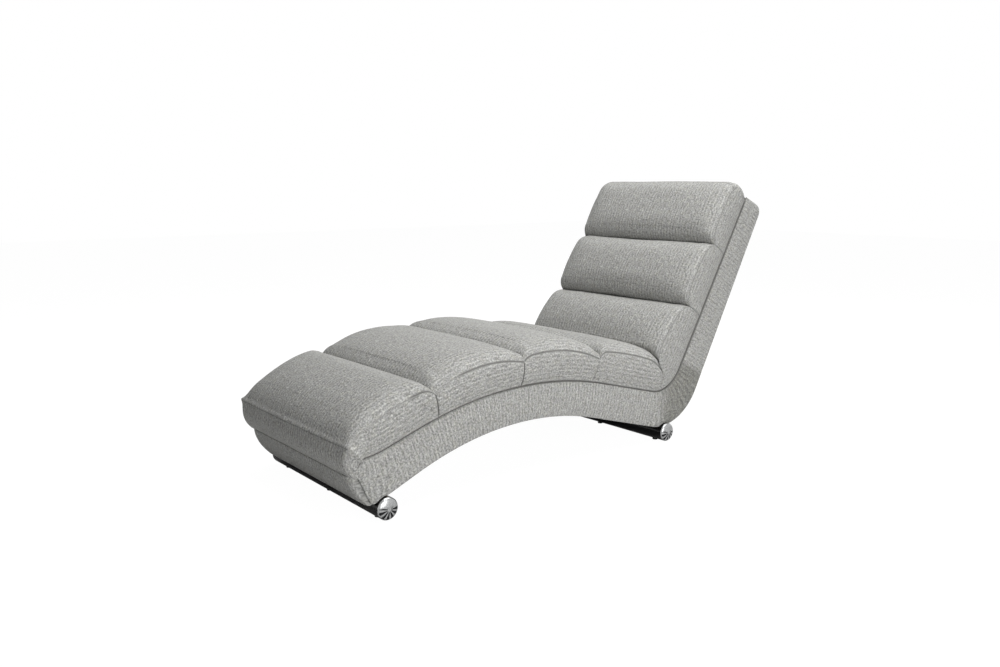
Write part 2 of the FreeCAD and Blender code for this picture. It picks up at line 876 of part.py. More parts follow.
def circle_centre(first, second, third):
    """Centre of the circle through three points."""
    rows = []
    for point in (second, third):
        rows.append((point[0] - first[0], point[1] - first[1],
                     (point[0] ** 2 - first[0] ** 2 + point[1] ** 2 - first[1] ** 2) / 2))
    (a, b, c), (d, e, f) = rows
    spread = a * e - b * d
    return ((c * e - b * f) / spread, (a * f - c * d) / spread)


def round_off(x, join, centre, end):
    """Arc that leaves a point of a circle along the circle and reaches an end point."""
    out = unit(centre, join)
    reach = (end[0] - join[0], end[1] - join[1])
    across = reach[0] * out[0] + reach[1] * out[1]
    radius = -(reach[0] ** 2 + reach[1] ** 2) / (2 * across)
    middle = (join[0] - out[0] * radius, join[1] - out[1] * radius)
    first = math.atan2(join[1] - middle[1], join[0] - middle[0])
    last = math.atan2(end[1] - middle[1], end[0] - middle[0])
    turn = math.remainder(last - first, 2 * math.pi)
    angle = first + turn / 2
    through = (middle[0] + abs(radius) * math.cos(angle), middle[1] + abs(radius) * math.sin(angle))
    return arc(x, join, through, end)


def bowed(x, start, end):
    """Arc from start to end that bows out by a share of the straight between them."""
    way = unit(start, end)
    bow = LIP_BOW * math.dist(start, end)
    through = ((start[0] + end[0]) / 2 - way[1] * bow, (start[1] + end[1]) / 2 + way[0] * bow)
    return arc(x, start, through, end)


class PadForm:
    """Sizes of one pad: the planes at which it ends and how high it stands."""

    def __init__(self, start, end, crown, front_height, rear_height):
        self.start = start
        self.end = end
        self.front_plane = square_end(start)
        self.rear_plane = square_end(end)
        self.crown = crown
        self.front_height = front_height
        self.rear_height = rear_height
        self.side_fall = size("side_fall")
        self.front_reach = size("front_reach")
        self.front_fall = size("front_fall")
        self.middle_fall = 0.0
        self.rear_reach = size("rear_reach")
        self.rear_fall = size("rear_fall")
        self.rear_draw = size("rear_draw")
        self.rear_overhang = 0.0

    def top(self, x, share, front_in, rear_in):
        """The three points of the crown at x: rise, peak and drop."""
        dome = size("cross_crown") * (1.0 - (x / pad_half) ** 2)
        full = self.crown - size("cross_crown")
        crown = blend(self.crown - self.side_fall, full, share) + dome
        rise_at = self.start + front_in + self.front_reach
        drop_at = self.end - rear_in - self.rear_reach
        rise = deck.off(rise_at, crown - self.front_fall)
        peak = deck.off((rise_at + drop_at) / 2, crown - self.middle_fall)
        drop = deck.off(drop_at, crown - self.rear_fall)
        return rise, peak, drop

    def front(self, x, share, front_in, rise, centre):
        """Edges from the bottom of the front end up to the rise."""
        height = blend(size("seam_groove_height"), self.front_height, share)
        low = self.front_plane.at(front_in, -size("pad_root"))
        top = self.front_plane.at(front_in, height)
        return low, [line(x, low, top), round_off(x, rise, centre, top)]

    def section(self, x):
        """Closed outline of the pad at x."""
        share = roundness(pad_half - abs(x))
        gap = size("pad_clearance") / 2
        front_in = gap + blend(size("front_draw"), 0.0, share)
        rear_in = gap + blend(self.rear_draw, 0.0, share)
        rise, peak, drop = self.top(x, share, front_in, rear_in)
        centre = circle_centre(rise, peak, drop)
        low_front, edges = self.front(x, share, front_in, rise, centre)
        rear_height = blend(size("seam_groove_height"), self.rear_height, share)
        top_rear = self.rear_plane.at(self.rear_overhang - rear_in, rear_height)
        low_rear = self.rear_plane.at(-rear_in - self.rear_overhang, -size("pad_root"))
        edges.append(arc(x, rise, peak, drop))
        edges.append(round_off(x, drop, centre, top_rear))
        edges.append(line(x, top_rear, low_rear))
        edges.append(line(x, low_rear, low_front))
        return Part.Wire(Part.__sortEdges__(edges))


class FootPadForm(PadForm):
    """The foot pad ends in a nose: a front edge, and a lip that hangs in front of the frame."""

    def front(self, x, share, front_in, rise, centre):
        bulge = size("nose_bulge") * share
        inside = moved(front_line(size("lip_bottom_z")), (2 * padding, 0.0))
        low = moved(front_line(size("lip_bottom_z")), (-bulge, 0.0))
        edge = (size("nose_edge_y") + size("nose_bow") * (x / pad_half) ** 2, size("nose_edge_z"))
        return inside, [line(x, inside, low), bowed(x, low, edge), round_off(x, rise, centre, edge)]


foot_end = size("foot_pad_run")
calf_end = foot_end + size("calf_pad_run")
thigh_end = calf_end + size("thigh_pad_run")
lumbar_end = seat_middle + size("lumbar_pad_run")
shoulder_end = lumbar_end + size("shoulder_pad_run")
seat_groove = size("seat_groove_height")
back_groove = size("back_groove_height")
corner_foot = deck.at(seat_middle)[0]
corner_edge = (size("corner_edge_y"), size("corner_edge_z"))
corner_plane = EndPlane(corner_foot, unit(corner_foot, corner_edge))
corner_height = math.dist(corner_foot, corner_edge)

pad_forms = {
    "foot_pad": FootPadForm(0.0, foot_end, size("foot_pad_crown"), seat_groove, seat_groove),
    "calf_pad": PadForm(foot_end, calf_end, size("calf_pad_crown"), seat_groove, seat_groove),
    "thigh_pad": PadForm(calf_end, thigh_end, size("thigh_pad_crown"), seat_groove, seat_groove),
    "seat_pad": PadForm(thigh_end, seat_middle, size("seat_pad_crown"), seat_groove, corner_height),
    "lumbar_pad": PadForm(
        seat_middle, lumbar_end, size("lumbar_pad_crown"), corner_height, back_groove),
    "shoulder_pad": PadForm(
        lumbar_end, shoulder_end, size("shoulder_pad_crown"), back_groove, back_groove),
    "head_pad": PadForm(
        shoulder_end, deck.length, size("head_pad_crown"), back_groove, size("head_end_height")),
}
pad_forms["foot_pad"].front_reach = size("foot_front_reach")
pad_forms["foot_pad"].front_fall = size("foot_front_fall")
pad_forms["foot_pad"].rear_reach = size("foot_rear_reach")
pad_forms["foot_pad"].rear_fall = size("foot_rear_fall")
pad_forms["calf_pad"].front_fall = size("calf_front_fall")
pad_forms["seat_pad"].rear_reach = size("seat_rear_reach")
pad_forms["seat_pad"].rear_fall = size("seat_rear_fall")
pad_forms["seat_pad"].rear_plane = corner_plane
pad_forms["lumbar_pad"].front_plane = corner_plane
pad_forms["lumbar_pad"].front_reach = size("lumbar_front_reach")
pad_forms["lumbar_pad"].front_fall = 0.0
pad_forms["lumbar_pad"].middle_fall = size("lumbar_middle_fall")
pad_forms["lumbar_pad"].rear_fall = size("lumbar_rear_fall")
pad_forms["head_pad"].rear_overhang = size("head_end_overhang")
for label in ("shoulder_pad", "head_pad"):
    pad_forms[label].front_reach = size("back_front_reach")
for label in ("lumbar_pad", "shoulder_pad", "head_pad"):
    pad_forms[label].side_fall = size("back_side_fall")
    pad_forms[label].rear_draw = size("back_rear_draw")


def frame_room(inset, x_start, x_end):
    """The frame's profile with clearance, its front face set back by an inset."""
    room = size("pad_clearance")
    top = deck.offset(room)
    shift = (-front_way[1] * (inset - room), front_way[0] * (inset - room))
    front_low = moved(corner("toe"), shift)
    reach = length_at_line(top, front_low, front_way)
    first = top.at(reach)[0]
    stretch = top.trimmed(max(reach, 0.0), top.length)
    points = [stretch.at(stretch.length)[0], corner("back_top")[:2], corner("heel")[:2]]
    points += [front_low, first]
    edges = stretch.edges(x_start)
    edges += [line(x_start, points[index], points[index + 1]) for index in range(4)]
    if reach < 0.0:
        edges.append(line(x_start, first, stretch.at(0.0)[0]))
    return prism(edges, x_end - x_start)


def length_at_line(path, point, way):
    """Length at which a path crosses the line through a point, near the path's start."""
    low = -2 * padding
    high = 4 * padding
    for _ in range(60):
        middle = (low + high) / 2
        here = path.at(middle)[0]
        inside = (here[0] - point[0]) * -way[1] + (here[1] - point[1]) * way[0]
        if inside < 0.0:
            low = middle
        else:
            high = middle
    return (low + high) / 2


inner_room = panel_face - size("pad_clearance")
outer_room = pad_half + size("pad_overhang")
frame_rooms = [
    frame_room(padding, -inner_room, inner_room),
    frame_room(0.0, -outer_room, -inner_room),
    frame_room(0.0, inner_room, outer_room),
]

for label, form in pad_forms.items():
    blank = Part.makeLoft([form.section(x) for x in stations(pad_half)], True, True)
    keep(solid_feature(label, blank.cut(frame_rooms)), label)


# Foot tubes, end caps and glides

def across_cylinder(name, radius, length, centre_y):
    """Round bar across the width, centred."""
    cylinder = doc.addObject("Part::Cylinder", name)
    cylinder.setExpression("Radius", radius)
    cylinder.setExpression("Height", length)
    turned = FreeCAD.Rotation(FreeCAD.Vector(0, 1, 0), 90)
    start = FreeCAD.Vector(-number(length) / 2, centre_y, tube_z)
    cylinder.Placement = FreeCAD.Placement(start, turned)
    return cylinder


def tube_holes(end, centre_y):
    """Bolt holes in the top of a tube and glide holes in its bottom."""
    radius = size("glide_spigot_diameter") / 2 + size("fit_clearance")
    solids = []
    for column in glide_columns.values():
        x = column * glide_reach
        low = FreeCAD.Vector(x, centre_y, 0.0)
        solids.append(rod(radius, low, FreeCAD.Vector(x, centre_y, tube_z)))
        if column:
            solids.append(bolt_bore((x, centre_y), tube_z, tube_z + 2 * tube_radius))
    return solid_feature(f"{end}_tube_holes", Part.makeCompound(solids))


SPIGOT_RADIUS = "(sizes.tube_diameter / 2 - sizes.tube_wall - sizes.fit_clearance)"


def end_cap(name, centre_y, side):
    """Domed cap whose spigot plugs into the tube's end."""
    body = doc.addObject("PartDesign::Body", name)
    sketch = new_sketch(body, "XY_Plane", f"{name}_profile")
    rim = size("cap_rim")
    dome = size("cap_dome")
    radius = number(TUBE_RADIUS)
    spigot = number(SPIGOT_RADIUS)
    back = -size("cap_spigot")
    points = [flat(rim + dome, 0), flat(back, 0), flat(back, spigot), flat(0, spigot)]
    points += [flat(0, radius), flat(rim, radius)]
    for index in range(5):
        sketch.addGeometry(Part.LineSegment(points[index], points[index + 1]))
    sphere = (radius ** 2 + dome ** 2) / (2 * dome)
    circle = Part.Circle(flat(rim + dome - sphere, 0), FreeCAD.Vector(0, 0, 1), sphere)
    curve = Part.ArcOfCircle(circle, circle.parameter(points[0]), circle.parameter(points[5]))
    sketch.addGeometry(curve)
    for index in range(4):
        sketch.addConstraint(Sketcher.Constraint("Coincident", index, 2, index + 1, 1))
    sketch.addConstraint(Sketcher.Constraint("Coincident", 4, 2, 5, 2))
    sketch.addConstraint(Sketcher.Constraint("Coincident", 5, 1, 0, 1))
    sketch.addConstraint(Sketcher.Constraint("PointOnObject", 5, 3, -1))
    pin_point(sketch, 0, 1, "sizes.cap_rim + sizes.cap_dome", "0")
    pin_point(sketch, 1, 1, "-sizes.cap_spigot", "0")
    pin_point(sketch, 2, 1, "-sizes.cap_spigot", SPIGOT_RADIUS)
    pin_point(sketch, 3, 1, "0", SPIGOT_RADIUS)
    pin_point(sketch, 4, 1, "0", TUBE_RADIUS)
    pin_point(sketch, 4, 2, "sizes.cap_rim", TUBE_RADIUS)
    turned = body.newObject("PartDesign::Revolution", f"{name}_turned")
    turned.Profile = sketch
    turned.ReferenceAxis = (sketch, ["H_Axis"])
    turned.Angle = 360.0
    sketch.Visibility = False
    face = side * number(TUBE_LENGTH) / 2
    facing = FreeCAD.Rotation(FreeCAD.Vector(0, 0, 1), 0 if side > 0 else 180)
    body.Placement = FreeCAD.Placement(FreeCAD.Vector(face, centre_y, tube_z), facing)
    return keep(body, name)


def glide(name, x, y):
    """Round floor glide plugged into the bottom of a tube."""
    foot = "sizes.glide_diameter / 2"
    spigot = "sizes.glide_spigot_diameter / 2"
    seat = "sizes.glide_height - sizes.fit_clearance"
    top = "sizes.glide_height + sizes.glide_spigot_length"
    points = [("0", "0"), (foot, "0"), (foot, seat), (spigot, seat), (spigot, top), ("0", top)]
    body = turned_body(name, "XZ_Plane", "V_Axis", points)
    body.Placement = FreeCAD.Placement(FreeCAD.Vector(x, y, 0), FreeCAD.Rotation())
    return keep(body, name)


for end, centre_y in (("front", front_tube_y), ("rear", rear_tube_y)):
    outside = across_cylinder(f"{end}_tube_outside", TUBE_RADIUS, TUBE_LENGTH, centre_y)
    bore = across_cylinder(
        f"{end}_tube_bore", f"{TUBE_RADIUS} - sizes.tube_wall",
        f"{TUBE_LENGTH} + 2 * sizes.tube_wall", centre_y)
    pipe = cut(f"{end}_tube_pipe", outside, bore)
    keep(cut(f"{end}_tube_drilled", pipe, tube_holes(end, centre_y)), f"{end}_tube")
    for hand, side in (("left", -1), ("right", 1)):
        end_cap(f"{end}_cap_{hand}", centre_y, side)
    for hand, column in glide_columns.items():
        glide(f"{end}_glide_{hand}", column * glide_reach, centre_y)


# Check everything, then write one file for each sub-part

doc.recompute()
failed = [obj.Name for obj in doc.Objects if {"Invalid", "Error"} & set(obj.State)]
for label, obj in parts.items():
    if obj.Shape.isNull() or not obj.Shape.isValid() or not obj.Shape.Solids:
        failed.append(label)
if failed:
    raise RuntimeError("failed objects: " + ", ".join(failed))

os.makedirs("parts", exist_ok=True)
box = FreeCAD.BoundBox()
for label, obj in parts.items():
    obj.Shape.exportStep(f"parts/{label}.step")
    box.add(obj.Shape.BoundBox)
print(len(parts), "sub-parts, box", [round(v, 2) for v in (
    box.XMin, box.YMin, box.ZMin, box.XMax, box.YMax, box.ZMax)])
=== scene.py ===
# %% [markdown]
# # An upholstered wave lounger
# The lounger is a curved wooden frame in a padded cover. Seven crowned pads lie in a row along it, and two
# black foot tubes with chrome caps carry it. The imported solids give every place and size. This lesson
# dresses them: soft pieces are worked out again as finer surfaces, and hard pieces get a finish.

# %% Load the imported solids
import math

import bpy
import numpy as np
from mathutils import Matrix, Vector


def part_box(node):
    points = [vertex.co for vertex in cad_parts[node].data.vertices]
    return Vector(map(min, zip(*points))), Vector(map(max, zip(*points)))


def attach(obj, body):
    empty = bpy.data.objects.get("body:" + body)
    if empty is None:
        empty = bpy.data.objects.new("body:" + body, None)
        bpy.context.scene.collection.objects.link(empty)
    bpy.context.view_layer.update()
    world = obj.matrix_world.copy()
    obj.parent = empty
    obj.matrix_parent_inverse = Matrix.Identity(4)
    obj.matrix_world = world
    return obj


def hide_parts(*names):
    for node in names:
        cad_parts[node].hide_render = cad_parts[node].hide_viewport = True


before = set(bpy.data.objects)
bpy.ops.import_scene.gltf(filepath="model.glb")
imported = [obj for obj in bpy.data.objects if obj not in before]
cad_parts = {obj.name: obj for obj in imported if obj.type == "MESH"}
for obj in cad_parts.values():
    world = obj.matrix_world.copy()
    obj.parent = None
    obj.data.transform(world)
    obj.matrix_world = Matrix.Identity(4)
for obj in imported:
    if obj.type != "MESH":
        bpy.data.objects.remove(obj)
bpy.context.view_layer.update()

print("solids in the frame:", len(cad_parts))

# %% [markdown]
# ## The frame's side outline
# The frame's side is drawn as two paths from the nose to the head: the deck that the pads lie on, and the
# way round below it. A path could be a Bezier curve, but the workshop draws it as straight runs with
# rounded corners, so it is worked out the same way here. All lengths are in millimetres until a mesh is made.

# %% Rounded paths
NOSE = (-802.0, 168.0)
TOE = (-745.0, 46.0)
DECK_HEAD = (744.0, 786.0)
DECK_CORNERS = [(-727.0, 177.0, 300.0), (-277.5, 327.0, 1150.0), (373.0, 156.0, 120.0)]
LIP_BOTTOM = 132.5
NOSE_TURN = 28.0
UNDER_CORNERS = [TOE + (12.0,), (-298.0, 229.0, 960.0), (436.0, 20.0, 190.0), (833.0, 746.0, 25.0)]
ARC_STEPS = 48


def unit(vectors):
    """Vectors divided by their lengths."""
    return vectors / np.maximum(np.linalg.norm(vectors, axis=-1, keepdims=True), 1e-9)


def running_length(points):
    """Length along a row of points, from 0 at the first."""
    return np.concatenate([[0.0], np.cumsum(np.linalg.norm(np.diff(points, axis=0), axis=1))])


def rounded_path(start, corners, end):
    """Straight runs joined by arcs: at a corner the arc's centre lies on the halving line, at the radius
    over the sine of half the corner angle, and the arc turns evenly from one run to the next."""
    runs = [np.array(start)] + [np.array(corner[:2]) for corner in corners] + [np.array(end)]
    points = [runs[0][None]]
    for number, corner in enumerate(corners, start=1):
        back = unit(runs[number - 1] - runs[number])
        onward = unit(runs[number + 1] - runs[number])
        half = math.acos(np.clip(back @ onward, -1.0, 1.0)) / 2
        centre = runs[number] + unit(back + onward) * corner[2] / math.sin(half)
        reach = corner[2] / math.tan(half)
        spokes = [runs[number] + way * reach - centre for way in (back, onward)]
        turn = math.pi - 2 * half
        share = np.linspace(0.0, 1.0, ARC_STEPS)[:, None]
        arc = (np.sin((1 - share) * turn) * spokes[0] + np.sin(share * turn) * spokes[1]) / math.sin(turn)
        points.append(centre + arc)
    points = np.concatenate(points + [runs[-1][None]])
    return points, running_length(points)


def along(path, s):
    """Points of a path at lengths s, and the unit way on at each."""
    points, lengths = path

    def place(at):
        return np.stack([np.interp(at, lengths, points[:, k]) for k in range(2)], axis=-1)

    s = np.asarray(s, dtype=float)
    return place(s), unit(place(s + 0.5) - place(s - 0.5))


def front_line(z):
    """Points of the frame's front face at heights z."""
    share = (NOSE[1] - np.asarray(z, dtype=float)) / (NOSE[1] - TOE[1])
    return np.stack([NOSE[0] + share * (TOE[0] - NOSE[0]), NOSE[1] - share * (NOSE[1] - TOE[1])], axis=-1)


deck = rounded_path(NOSE, DECK_CORNERS, DECK_HEAD)
under = rounded_path(NOSE, UNDER_CORNERS, DECK_HEAD)
cover_top = rounded_path(front_line(LIP_BOTTOM), [NOSE + (NOSE_TURN,)] + DECK_CORNERS, DECK_HEAD)
cover_low = rounded_path(front_line(LIP_BOTTOM), UNDER_CORNERS, DECK_HEAD)
deck_length = deck[1][-1]
under_length = under[1][-1]
print("deck length in mm:", round(deck_length, 1), "way round below it:", round(under_length, 1))

# %% [markdown]
# ## From a grid to a mesh
# Each soft piece is a grid of points. Blender could build it face by face, but whole arrays are quicker and
# say more clearly what the shape is. Where a grid closes to a line or a pole, the points that fall together
# become one, so every seam is shut. A point also carries its place on the cloth, in metres, for the weave.

# %% Grid helpers
FAR = 1000.0


def grid_quads(rows, columns, closed):
    """Corner numbers of the cells of a grid. A closed grid joins its last column to its first."""
    row = np.arange(rows - 1)[:, None]
    column = np.arange(columns if closed else columns - 1)[None, :]
    after = (column + 1) % columns
    corners = (row * columns + column, row * columns + after,
               (row + 1) * columns + after, (row + 1) * columns + column)
    return np.stack(np.broadcast_arrays(*corners), axis=-1).reshape(-1, 4)


def weld(points, quads):
    """One point for those that fall together. A cell that loses a corner is a triangle, or is dropped."""
    _, first, where = np.unique(np.round(points, 3), axis=0, return_index=True, return_inverse=True)
    where = where.ravel()
    quads = where[quads]
    repeats = quads == np.roll(quads, -1, axis=1)
    count = repeats.sum(axis=1)
    triangles = quads[count == 1][~repeats[count == 1]].reshape(-1, 3)
    return first, where, quads[count == 0], triangles


def volume(points, faces):
    """Volume inside a closed mesh: the sum over fans of triangles, negative if it is inside out."""
    total = 0.0
    for corner in range(1, faces.shape[1] - 1):
        a, b, c = (points[faces[:, k]] for k in (0, corner, corner + 1))
        total += np.einsum("ij,ij->", a, np.cross(b, c)) / 6.0
    return total


def link_object(name, data):
    """Object of a mesh, a light or a camera, in the scene."""
    item = bpy.data.objects.new(name, data)
    bpy.context.collection.objects.link(item)
    return item


def grid_object(name, grid, closed):
    """Object of a grid of points in mm with its faces outward, the points kept, and where each one went."""
    points = grid.reshape(-1, 3)
    first, where, quads, triangles = weld(points, grid_quads(*grid.shape[:2], closed))
    points = points[first]
    if volume(points, quads) + volume(points, triangles) < 0:
        quads = quads[:, ::-1]
        triangles = triangles[:, ::-1]
    mesh = bpy.data.meshes.new(name)
    mesh.from_pydata((points / 1000).tolist(), [], quads.tolist() + triangles.tolist())
    return link_object(name, mesh), first, where


def set_attribute(mesh, name, values):
    """Point attribute of one value or of one vector for each point."""
    kind, field = ("FLOAT_VECTOR", "vector") if values.ndim == 2 else ("FLOAT", "value")
    attribute = mesh.attributes.new(name, kind, "POINT")
    attribute.data.foreach_set(field, values.astype(np.float32).ravel())


def make_piece(name, grid, closed, thread, cross_seam_and_shade=None, painted_nap_shade=None):
    """Smooth piece of a grid, with its cloth places, distances from seams and painted shade lines, and
    painted nap shade as point attributes.
    """
    piece, first, _ = grid_object(name, grid, closed)
    piece.data.shade_smooth()
    if cross_seam_and_shade is None:
        cross_seam_and_shade = np.full(grid.shape[:2], FAR)
    set_attribute(piece.data, "thread", thread.reshape(-1, 3)[first] / 1000)
    set_attribute(piece.data, "cross_seam_and_shade", cross_seam_and_shade.reshape(-1)[first] / 1000)
    if painted_nap_shade is not None:
        set_attribute(piece.data, "painted_nap_shade", painted_nap_shade.reshape(-1)[first])
    return piece


def finish_piece(piece, material, nodes, smooth=0):
    """Gives a piece its finish and its place in the part, and hides the solids that it stands for."""
    piece.data.materials.append(material)
    if smooth:
        rounding = piece.modifiers.new("round", "SUBSURF")
        rounding.levels = smooth
        rounding.render_levels = smooth
    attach(piece, "root")
    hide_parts(*nodes)
    print(piece.name, "points:", len(piece.data.vertices))
    return piece


print("cells of a closed grid of 3 rows and 4 columns:", len(grid_quads(3, 4, True)))

# %% [markdown]
# ## Shading tools
# A finish is a small tree of nodes. One function adds any node, sets it and links it, and short ones name the
# steps that come back often. Colours are written as the eye sees them on a screen and turned to linear light.

# %% Node and colour helpers
WHITE = (1.0, 1.0, 1.0, 1.0)


def hex_colour(code):
    """Linear colour of a screen colour such as 8C8C88."""
    parts = np.array([int(code[k:k + 2], 16) for k in (0, 2, 4)]) / 255.0
    linear = np.where(parts <= 0.04045, parts / 12.92, ((parts + 0.055) / 1.055) ** 2.4)
    return tuple(linear.tolist()) + (1.0,)


def add(tree, kind, inputs=None, stops=None, **settings):
    """Adds a node. Inputs are values or sockets by name or number, and stops fill a colour ramp."""
    node = tree.nodes.new(kind)
    for name, value in settings.items():
        setattr(node, name, value)
    for key, value in (inputs or {}).items():
        if isinstance(value, bpy.types.NodeSocket):
            tree.links.new(value, node.inputs[key])
        else:
            node.inputs[key].default_value = value
    for number, (place, code) in enumerate(stops or []):
        elements = node.color_ramp.elements
        stop = elements[number] if number < 2 else elements.new(place)
        stop.position = place
        stop.color = hex_colour(code)
    return node


def bare_tree(owner):
    """Empty node tree of a material or a world."""
    owner.use_nodes = True
    owner.node_tree.nodes.clear()
    return owner.node_tree


def new_material(name, **inputs):
    """Empty material with one shader whose plain values are set on its own sockets."""
    material = bpy.data.materials.new(name)
    tree = bare_tree(material)
    shader = add(tree, "ShaderNodeBsdfPrincipled", inputs)
    add(tree, "ShaderNodeOutputMaterial", {"Surface": shader.outputs[0]})
    return material, tree, shader


def dress(tree, shader, colour=None, rough=None, relief=None):
    """Links a colour, a roughness and a relief to the shader."""
    for name, socket in (("Base Color", colour), ("Roughness", rough), ("Normal", relief)):
        if socket is not None:
            tree.links.new(socket, shader.inputs[name])


def object_place(tree):
    """Places in the object's own space, in metres."""
    return add(tree, "ShaderNodeTexCoord").outputs["Object"]


def attribute(tree, name):
    """Outputs of a point attribute."""
    return add(tree, "ShaderNodeAttribute", attribute_name=name).outputs


def maths(tree, operation, *values):
    """Result of one step of arithmetic on values or sockets."""
    return add(tree, "ShaderNodeMath", dict(enumerate(values)), operation=operation).outputs[0]


def noise(tree, place, size, detail):
    """Noise with features of about one size in metres."""
    return add(tree, "ShaderNodeTexNoise", {"Vector": place, "Scale": 1 / size, "Detail": detail}).outputs[0]


def stretched(tree, place, *sizes):
    """Places divided by a size for each axis, so that noise of size 1 gets features of those sizes."""
    return add(tree, "ShaderNodeMapping", {0: place, "Scale": tuple(1 / size for size in sizes)}).outputs[0]


def ribbed(tree, place, pitch, direction, distortion=0.0):
    """Even ribs with a pitch in metres along one axis."""
    inputs = {"Vector": place, "Scale": 2 * math.pi / 20 / pitch, "Distortion": distortion}
    return add(tree, "ShaderNodeTexWave", inputs, bands_direction=direction).outputs["Fac"]


def ramp(tree, value, *stops):
    """Colour at a value between stops of (place, colour)."""
    return add(tree, "ShaderNodeValToRGB", {0: value}, stops=stops).outputs[0]


def spread(tree, value, low, high):
    """Noise from 0.3 to 0.7 spread from low to high."""
    return add(tree, "ShaderNodeMapRange", {0: value, 1: 0.3, 2: 0.7, 3: low, 4: high}).outputs[0]


def mix(tree, share, first, second, blend="MIX"):
    """Mix of two colours."""
    inputs = {0: share, 6: first, 7: second}
    return add(tree, "ShaderNodeMix", inputs, data_type="RGBA", blend_type=blend).outputs[2]


def bump(tree, height, distance, strength, **inputs):
    """Normal of a relief that is as deep as the distance in metres."""
    inputs.update(Height=height, Distance=distance, Strength=strength)
    return add(tree, "ShaderNodeBump", inputs).outputs[0]


print("screen grey 8C8C88 in linear light:", [round(part, 3) for part in hex_colour("8C8C88")[:3]])

# %% [markdown]
# ## The woven cover
# The cover is a structured chenille: soft grey yarns that make fine uneven ribs, with pale slubs that show as
# flecks. A woven picture could be wrapped on, but noise stretched along the yarns needs no picture and has
# no seams. The ribs follow the thread places, so they turn with each piece as the cut cloth does. Seams are
# drawn dark where a point's seam distance is small, and the same dark line is painted as shade in creases
# between parts. Cloth is also painted darker, as shade, where its nap turns away from the light.

# %% Grey chenille
RIB = 0.0125
FLECK = (0.0052, 0.0046)
STREAK = (0.020, 0.0056)
YARN = 0.0026
MOTTLE = 0.055
TINT = 0.016
DRIFT = 0.0016
DRIFT_SIZE = 0.03
STITCH = 0.0016
WEAVE_LEVEL = -0.20


def woven(tree, flat):
    """Height of the weave: ribs, yarns, flecks, streaks and mottle, each times its share, added up."""
    # the ribs wander by up to a millimetre, as soft yarns do
    drift = add(tree, "ShaderNodeTexNoise", {"Vector": flat, "Scale": 1 / DRIFT_SIZE, "Detail": 2.0})
    shift = add(tree, "ShaderNodeVectorMath", {0: drift.outputs["Color"], 1: (0.5, 0.5, 0.5)},
                operation="SUBTRACT")
    moved = add(tree, "ShaderNodeVectorMath", {0: shift.outputs[0], 1: (DRIFT, 2 * DRIFT, 0.0), 2: flat},
                operation="MULTIPLY_ADD").outputs[0]
    layers = (
        (ribbed(tree, moved, RIB, "Y"), 0.08),
        (noise(tree, flat, YARN, 1.0), 0.22),
        (noise(tree, stretched(tree, moved, *FLECK, 1.0), 1.0, 2.0), 0.84),
        (noise(tree, stretched(tree, moved, *STREAK, 1.0), 1.0, 1.0), 0.36),
        (noise(tree, flat, MOTTLE, 2.0), 0.07))
    weave = WEAVE_LEVEL
    for layer, share in layers:
        weave = maths(tree, "MULTIPLY_ADD", layer, share, weave)
    return weave


def grey_chenille():
    """Wool and polyester chenille, woven: matt, soft, slightly hairy, with long loops in uneven ribs."""
    material, tree, shader = new_material(
        "grey_chenille_weave", **{"Roughness": 0.93, "Sheen Weight": 0.10, "Sheen Roughness": 0.6,
                                  "Specular IOR Level": 0.2})
    place = add(tree, "ShaderNodeSeparateXYZ", {0: attribute(tree, "thread")["Vector"]}).outputs
    flat = add(tree, "ShaderNodeCombineXYZ", {0: place[0], 1: place[1]}).outputs[0]
    weave = woven(tree, flat)
    colour = ramp(tree, weave, (0.40, "767675"), (0.55, "969694"), (0.68, "ABABA9"), (0.86, "D0D0CC"))
    tint = ramp(tree, noise(tree, flat, TINT, 1.0), (0.40, "FFFFFF"), (0.80, "FBFAF3"))
    tinted = mix(tree, 1.0, colour, tint, "MULTIPLY")
    crossing = maths(tree, "ABSOLUTE", attribute(tree, "cross_seam_and_shade")["Fac"])
    nearest = maths(tree, "MINIMUM", place[2], crossing)
    clear_of_seam_and_shade = add(tree, "ShaderNodeMapRange", {0: nearest, 1: 0.0, 2: STITCH, 3: 0.0, 4: 1.0},
                   interpolation_type="SMOOTHSTEP").outputs[0]
    # painted shade: the heel panel's cloth is darker where its nap turns away from the light
    nap_shaded = mix(tree, attribute(tree, "painted_nap_shade")["Fac"], tinted, hex_colour("CECECA"), "MULTIPLY")
    # 70706D darkens seams, and is also painted shade in creases under and between the pads and under the nose
    # welt
    final = mix(tree, clear_of_seam_and_shade, hex_colour("70706D"), nap_shaded)
    seam_dip = bump(tree, clear_of_seam_and_shade, 0.002, 0.6)
    dress(tree, shader, final, relief=bump(tree, weave, 0.0025, 0.8, Normal=seam_dip))
    return material


weave_finish = grey_chenille()
print("cover:", weave_finish.name)

# %% [markdown]
# ## The pads
# A pad is foam in a sewn cover: a top that is crowned from groove to groove, drawn in at both sides, and a
# side strip below a boxing seam. It could start from a box with a subdivision surface, but then the grooves
# and the roll at the nose would be guesswork. Here each pad is a section carried across the width, with the
# same planes and heights as its solid, and the section's ends come down to the deck. Where seat and back meet
# the sides are rounded more widely.

